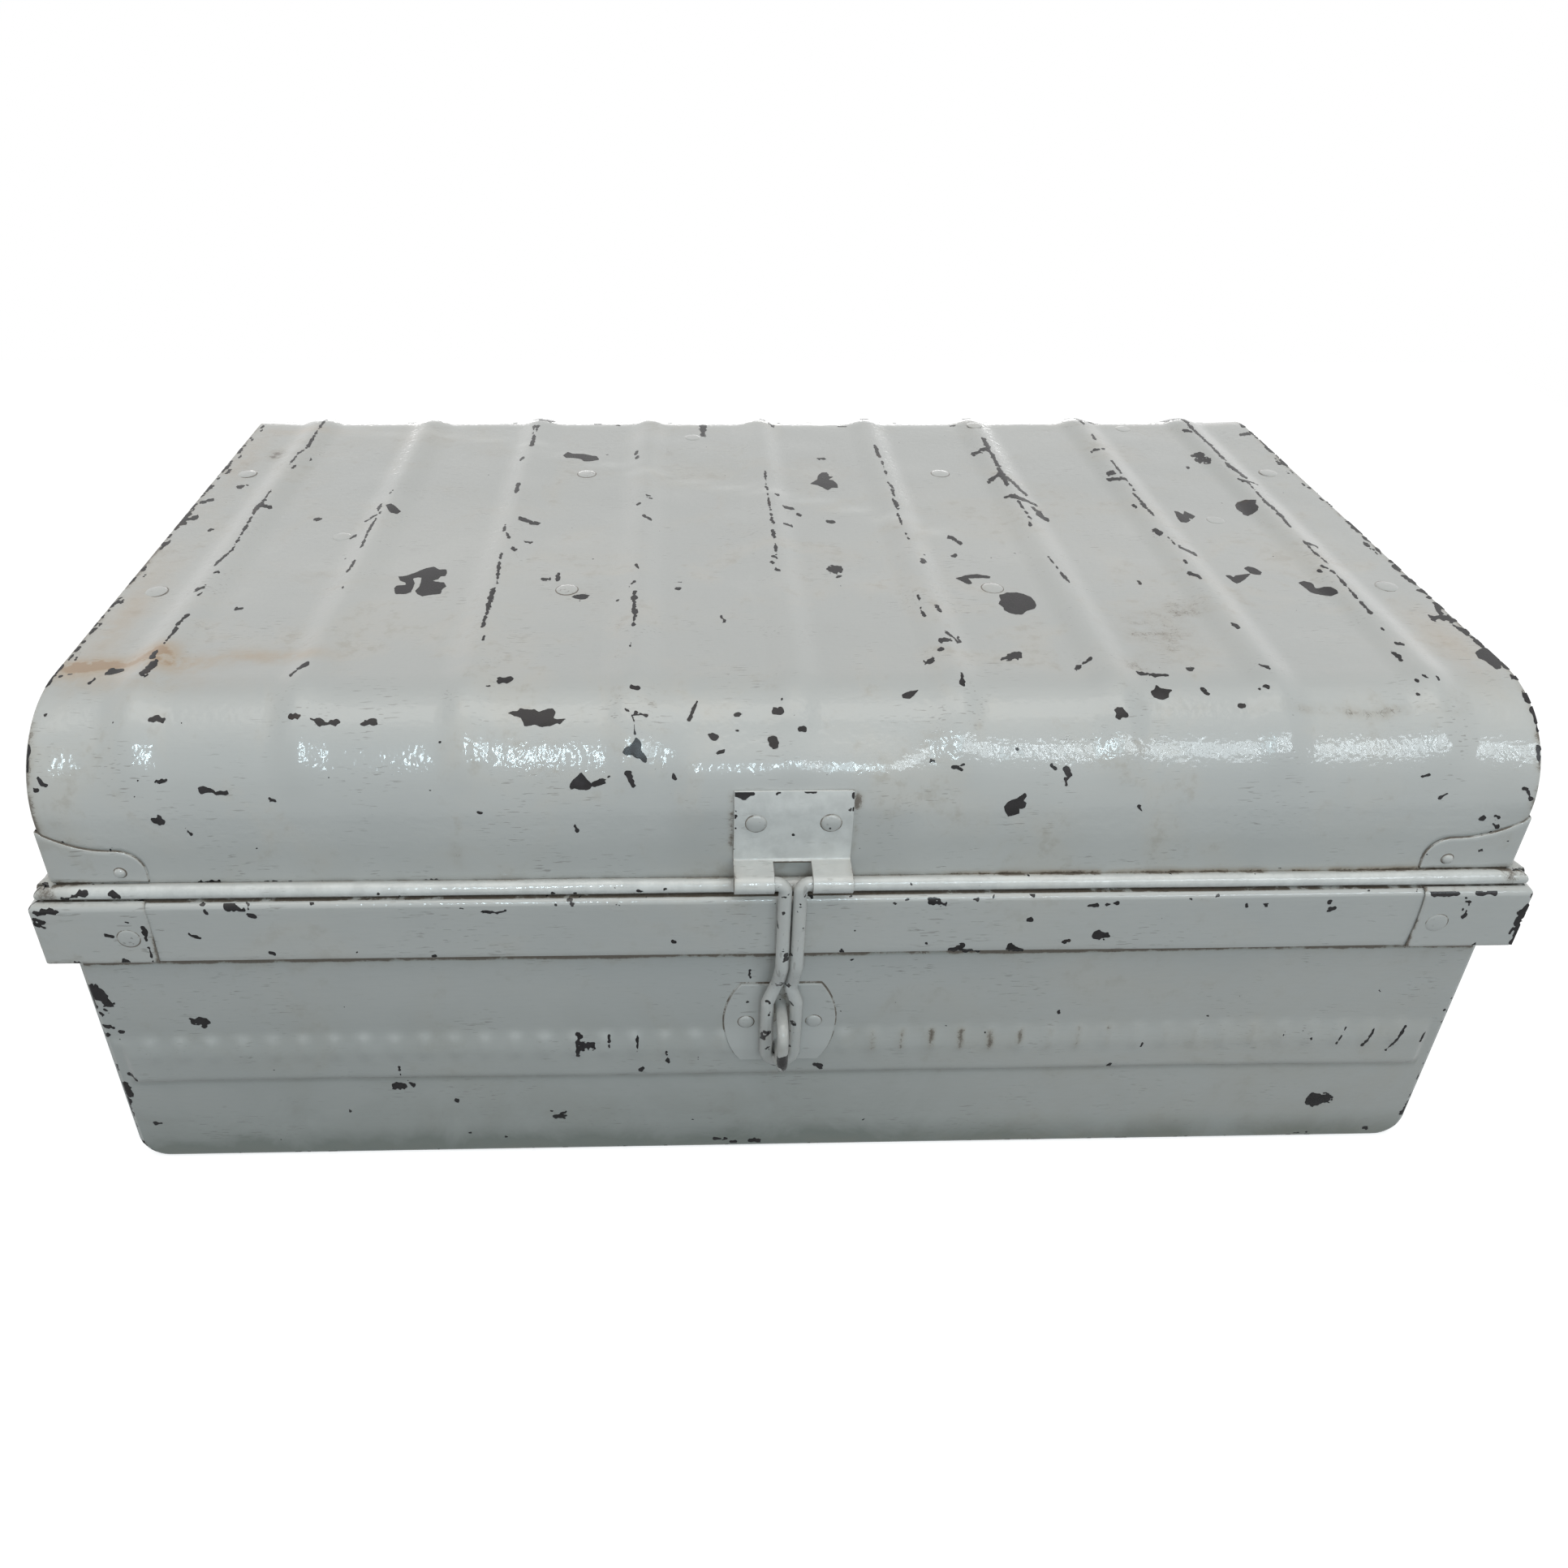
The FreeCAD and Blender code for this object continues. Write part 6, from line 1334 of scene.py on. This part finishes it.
rivet_paint = paint("rivet_paint_worn", (240.0, 240.0, 240.0), 0.5, 0.0, 0.05, 0.25)
bare_metal = metal("bare_metal", BARE, BARE_LIGHT, 0.28, 0.0)
steel = metal("steel_worn", (0.21, 0.205, 0.20), (0.36, 0.35, 0.34), 0.42, 0.85)


def piece(node, build, material, body, slot, *args):
    skin = Skin()
    build(skin, *args)
    skin.make(node + "_painted", material, body, slot, [node])


def fitting(node, build, body, *args):
    piece(node, build, fitting_paint, body, "fitting_paint", *args)


def rod(node, build, body, *args):
    piece(node, build, rod_paint, body, "rod_paint", *args)


X_NAMES, Y_NAMES = {-1: "left", 1: "right"}, {-1: "front", 1: "back"}
CORNERS = [(sx, sy) for sy in (-1, 1) for sx in (1, -1)]
piece("lid_wrap", build_lid_wrap, lid_paint, "lid", "lid_paint")
for sy, end in Y_NAMES.items():
    piece("body_%s_panel" % end, build_panel, body_paint, "body", "body_paint", sy)
piece("body_wrap", build_body_wrap, end_paint, "body", "body_paint")
fitting("hasp_plate", build_hasp_plate, "lid")
fitting("staple_plate", build_staple_plate, "body")
for (sx, side), hinge_x in zip(X_NAMES.items(), HINGE_XS):
    piece("lid_end_" + side, build_lid_end, end_paint, "lid", "lid_paint", sx)
    fitting("hinge_lid_leaf_" + side, build_hinge_lid_leaf, "lid", hinge_x)
    fitting("hinge_body_leaf_" + side, build_hinge_body_leaf, "body", hinge_x)
    for sy, end in Y_NAMES.items():
        fitting("handle_plate_%s_%s" % (side, end), build_handle_plate, "body", sx, sy)
for sx, sy in CORNERS:
    corner = Y_NAMES[sy] + "_" + X_NAMES[sx]
    fitting("rim_cap_" + corner, build_cap, "body", sx, sy)
    fitting("lid_corner_plate_" + corner, build_corner_plate, "lid", sx, sy)
rod("hasp", build_hasp, "hasp")
rod("staple", build_staple, "body")
for sx, side in X_NAMES.items():
    rod("handle_" + side, build_handle, side + "_handle", sx)

# Rivets: radius of the shank and of the head, and the head's rise.
HASP_RIVET = (2.5, 5.1, 1.6)
STAPLE_RIVET = (2.2, 4.3, 1.2)
HANDLE_RIVET = (2.5, 4.6, 1.8)
CORNER_RIVET = (1.6, 2.9, 2.0)
CAP_RIVET = (2.5, 5.6, 0.5)
BATTEN_RIVET = (2.5, 6.2, 0.6)
ON_PLATE = 1.6


def build_rivets(skin, places, kind, stand, depth):
    for spot, out in places:
        spot = np.array(spot, float) + np.array(out, float) * stand
        skin.rivet(spot, out, kind, stand + depth)


def rivets(node, body, places, kind, stand, depth=0.9):
    piece(node, build_rivets, rivet_paint, body, "rivet_paint", places, kind, stand, depth)


def pairs(xs, reach, y, z):
    """Two places on a front or a back beside each x."""
    return [((x + k * reach, y, z), (0, 1 if y > 0 else -1, 0)) for x in xs for k in (-1, 1)]


def corner_spots(half_x, half_y, inset, z):
    rows = []
    for sx, sy in CORNERS:
        rows.append(((sx * (half_x - inset), sy * half_y, z), (0, sy, 0)))
        rows.append(((sx * half_x, sy * (half_y - inset), z), (sx, 0, 0)))
    return rows


rivets("hasp_plate_rivets", "lid", pairs([HASP_X], 19, -HALF_Y, 249.0), HASP_RIVET, ON_PLATE)
rivets("staple_plate_rivets", "body", pairs([STAPLE_X], 19, -FACE_Y, STAPLE_Z), STAPLE_RIVET, ON_PLATE)
rivets("hinge_lid_rivets", "lid", pairs(HINGE_XS, 22, HALF_Y, 247.0), HASP_RIVET, ON_PLATE)
rivets("hinge_body_rivets", "body", pairs(HINGE_XS, 22, BAND_Y, 185.0), HASP_RIVET, ON_PLATE)
rivets("rim_cap_rivets", "body", corner_spots(BAND_X, BAND_Y, 46.0, 185.0), CAP_RIVET, 0.9)
rivets("lid_corner_rivets", "lid", corner_spots(HALF_X, HALF_Y, 36.5, 220.8), CORNER_RIVET, 0.9)
batten_spots = [(top_spot(x, y), (0, 0, 1)) for y in (-87.0, 87.0) for x in (-360.0, -124.5, 124.5, 360.0)]
rivets("lid_batten_rivets", "lid", batten_spots, BATTEN_RIVET, 0.0, 4.0)
for sx, side in X_NAMES.items():
    places = [((sx * FACE_X, y, z), (sx, 0, 0)) for y in (-66.5, 66.5) for z in (139.0, 155.0)]
    rivets("handle_rivets_" + side, "body", places, HANDLE_RIVET, ON_PLATE)

# Flakes of bare metal, one piece for each of the two large bodies. Those out of the photograph's sight are random.
LID_BACK = scatter(201, 60, (-370, S_BACK + 10), (370, S_END - 10)) + edge_run(202, 20, 0, S_BACK + 30, -360, 360, 30)
LID_EDGES = [row for k in (-1, 1) for row in (
    edge_run(261 + k, 46, 1, k * (WRAP_X - 0.8), S_ROLL + 20, S_BACK, 0.9)
    + edge_run(264 + k, 18, 1, k * (WRAP_X - 3.0), S_TOP, S_BACK, 2.4))]
LID_ENDS = {k: scatter(210 + k, 34, (-215, 222), (215, 262), 0.15) for k in (-1, 1)}
BAND_BACK = scatter(221, 34, (-380, 172), (380, 200)) + edge_run(222, 26, 0, 203.5, -380, 380, 1.2)
BAND_ENDS = {
    k: scatter(230 + k, 24, (-235, 172), (235, 200)) + edge_run(234 + k, 14, 0, 203.5, -235, 235, 1.2)
    for k in (-1, 1)}
BODY_BACK = scatter(241, 60, (-365, 8), (365, 160))
BODY_BACK += edge_run(242, 16, 1, -377, 20, 160) + edge_run(243, 16, 1, 377, 20, 160)
BODY_ENDS = {k: scatter(250 + k, 46, (-220, 24), (220, 160)) for k in (-1, 1)}
BAND_FROM, BAND_TO, PANEL_FROM = BAND_LOW + 0.4, RIM_Z - 0.4, CORNER_Z - 12

skin = Skin()
bare_patches(
    skin, LID_CHIPS + LID_BACK + LID_EDGES, lid_point, WRAP_X, BEAD_MEET + 0.5, S_END - BEAD_MEET - 0.5, 101,
    outlines=LID_PATCHES, step=0.68)
bare_patches(skin, BEAD_CHIPS, on_bead, 386, BEAD_Z - 3.6, BEAD_Z + 3.6, 103)
bare_patches(skin, HASP_CHIPS, on_hasp_plate(), 29.9, 0.15, 50.0, 109, middle=HASP_X)
for k, seed in ((1, 105), (-1, 107)):
    bare_patches(skin, LID_ENDS[k], on_end(k, HALF_X + 0.05), 228, 216, 268, seed, k < 0)
skin.make("lid_bare_metal", bare_metal, "lid", "bare_steel", [])

skin = Skin()
bare_patches(skin, BAND_CHIPS + CAP_EDGE, on_band(-1), BAND_X, BAND_FROM, BAND_TO, 111)
bare_patches(skin, BODY_CHIPS + BODY_EDGE, on_panel(-1), PANEL_X, PANEL_FROM, BAND_LOW + 8, 113)
bare_patches(skin, BAND_BACK, on_band(1), BAND_X, BAND_FROM, BAND_TO, 115, True)
bare_patches(skin, BODY_BACK, on_panel(1), PANEL_X, PANEL_FROM, BAND_LOW, 117, True)
for k, seed in ((1, 119), (-1, 121)):
    bare_patches(skin, BAND_ENDS[k], on_end_band(k), BAND_Y, BAND_FROM, BAND_TO, seed, k < 0)
for k, seed in ((1, 123), (-1, 125)):
    bare_patches(skin, BODY_ENDS[k], on_end(k, FACE_X + 0.25), 228, 20, BAND_LOW, seed, k < 0)
skin.make("body_bare_metal", bare_metal, "body", "bare_steel", [])


def finish_node(name, material):
    """Gives a node of the part that stays in view its own material."""
    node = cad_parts[name]
    node.data.materials.clear()
    node.data.materials.append(material)


for side in ("front", "back", "left", "right"):
    finish_node("lip_" + side, inside_paint)
for side in ("front", "back"):
    finish_node("lid_batten_" + side, inside_paint)
for name in ("lid_edge_wire", "hinge_pin_left", "hinge_pin_right"):
    finish_node(name, steel)


def stand(name, data, right, up, back, place):
    """Puts a lamp or a camera in the scene, given its own axes."""
    thing = bpy.data.objects.new(name, data)
    thing.matrix_world = Matrix([(right[k], up[k], back[k], place[k]) for k in range(3)] + [(0, 0, 0, 1)])
    bpy.context.collection.objects.link(thing)
    return thing


def lamp(name, place, aim, size, power, colour=(1.0, 1.0, 1.0)):
    data = bpy.data.lights.new(name, "AREA")
    data.shape = "RECTANGLE"
    data.size, data.size_y = size
    data.energy = power
    data.color = colour
    place, aim = np.array(place, float), np.array(aim, float)
    back = (place - aim) / np.linalg.norm(place - aim)
    right = np.cross((0.0, 0.0, 1.0) if abs(back[2]) < 0.95 else (0.0, 1.0, 0.0), back)
    right /= np.linalg.norm(right)
    stand(name, data, right, np.cross(back, right), back, place)


# Lamps, floor and camera are in metres.
WARM, COOL, MILD = (1.0, 0.955, 0.89), (0.71, 0.92, 1.02), (0.82, 0.93, 0.99)
OVERHEAD_POWER, FILL_POWER = 12.2, 8.0
# Four lamps of growing size in one place, so that the edge of the light in the gloss is soft.
for k, size in enumerate(((2.4, 1.0), (3.0, 1.8), (3.6, 2.6), (4.2, 3.4))):
    lamp("overhead_%d" % k, (0.0, -0.65, 2.7), (0.0, 0.0, 0.2), size, OVERHEAD_POWER, WARM)
for name, x, y in (("fill_back", 0.0, 2.6), ("fill_left", -2.9, 0.0), ("fill_right", 2.9, 0.0)):
    lamp(name, (x, y, 0.32), (0.0, 0.0, 0.15), (2.4, 0.5), FILL_POWER)
# A row of window panes in front, for the highlights on the lid's roll: x, width and strength.
PANE_Y, PANE_Z, PANE_TALL, PANE_GLOW = -3.0, 2.05, 0.95, 31.0
PANES = (
    (-0.58, 0.15, 2.7), (0.32, 0.12, 2.6), (0.66, 0.30, 0.45), (1.15, 0.16, 1.3), (1.62, 0.38, 0.5),
    (2.08, 0.16, 1.1), (2.36, 0.20, 0.6))
for k, (x, wide, share) in enumerate(PANES):
    power = PANE_GLOW * share * wide * PANE_TALL
    lamp("window_%d" % k, (x, PANE_Y, PANE_Z), (0.1, -0.2, 0.25), (wide, PANE_TALL), power, COOL if x < 1 else MILD)

# A white room, which lights the trunk less than it shows.
WORLD_LIGHT = 0.37
scene = bpy.context.scene
scene.world = bpy.data.worlds.new("white_room")
n = Nodes(scene.world)
n.output(n.add("Background", {
    "Color": (1.0, 1.0, 1.0, 1.0), "Strength": n.span(n.seen(), 0.0, 1.0, WORLD_LIGHT, 1.0)}), "World")

# A white floor. In the paint's gloss it is darker near the trunk, a painted shadow, and it throws little light on the
# trunk.
FLOOR, FLOOR_GLOW, FLOOR_PALE, FLOOR_DIM = 1.3, 0.72, 0.5, 0.12
floor_mesh = bpy.data.meshes.new("floor")
floor_mesh.from_pydata([(x * FLOOR, y * FLOOR, 0) for x, y in ((-1, -1), (1, -1), (1, 1), (-1, 1))], [], [(0, 1, 2, 3)])
floor = bpy.data.objects.new("floor", floor_mesh)
bpy.context.collection.objects.link(floor)
floor_mesh.materials.append(bpy.data.materials.new("floor_white"))
n = Nodes(floor_mesh.materials[0])
depth = n.math("ABSOLUTE", n.add("SeparateXYZ", {"Vector": n.coords()}).outputs["Y"])
glow = n.add("Mix", {
    "Factor": n.add("LightPath").outputs["Is Camera Ray"], "A": n.span(depth, 0.52, 0.95, 0.1, FLOOR_GLOW),
    "B": FLOOR_GLOW}).outputs["Result"]
pale, dim = (n.add("BsdfDiffuse", {"Color": (v, v, v, 1.0)}).outputs[0] for v in (FLOOR_PALE, FLOOR_DIM))
bright = n.add("AddShader", {0: pale, 1: n.add("Emission", {"Strength": glow}).outputs[0]}).outputs[0]
n.output(n.add("MixShader", {0: n.seen(), 1: dim, 2: bright}))

# The photograph's viewpoint, taken from the lines of the trunk in it.
EYE = (-0.054416, -0.730664, 0.644176)
YAW, PITCH, TILT = 0.0352, 0.5367, -0.0125
data = bpy.data.cameras.new("camera")
data.sensor_width, data.lens, data.clip_end = 36.0, 28.626, 100.0
data.shift_x, data.shift_y = 0.03725, -0.0834
ahead = np.array([math.sin(YAW) * math.cos(PITCH), math.cos(YAW) * math.cos(PITCH), -math.sin(PITCH)])
right = np.array([math.cos(YAW), -math.sin(YAW), 0.0])
down = np.cross(ahead, right)
tilted = math.cos(TILT) * right + math.sin(TILT) * down
below = -math.sin(TILT) * right + math.cos(TILT) * down
scene.camera = stand("camera", data, tilted, -below, -ahead, EYE)
scene.view_settings.view_transform = "Standard"
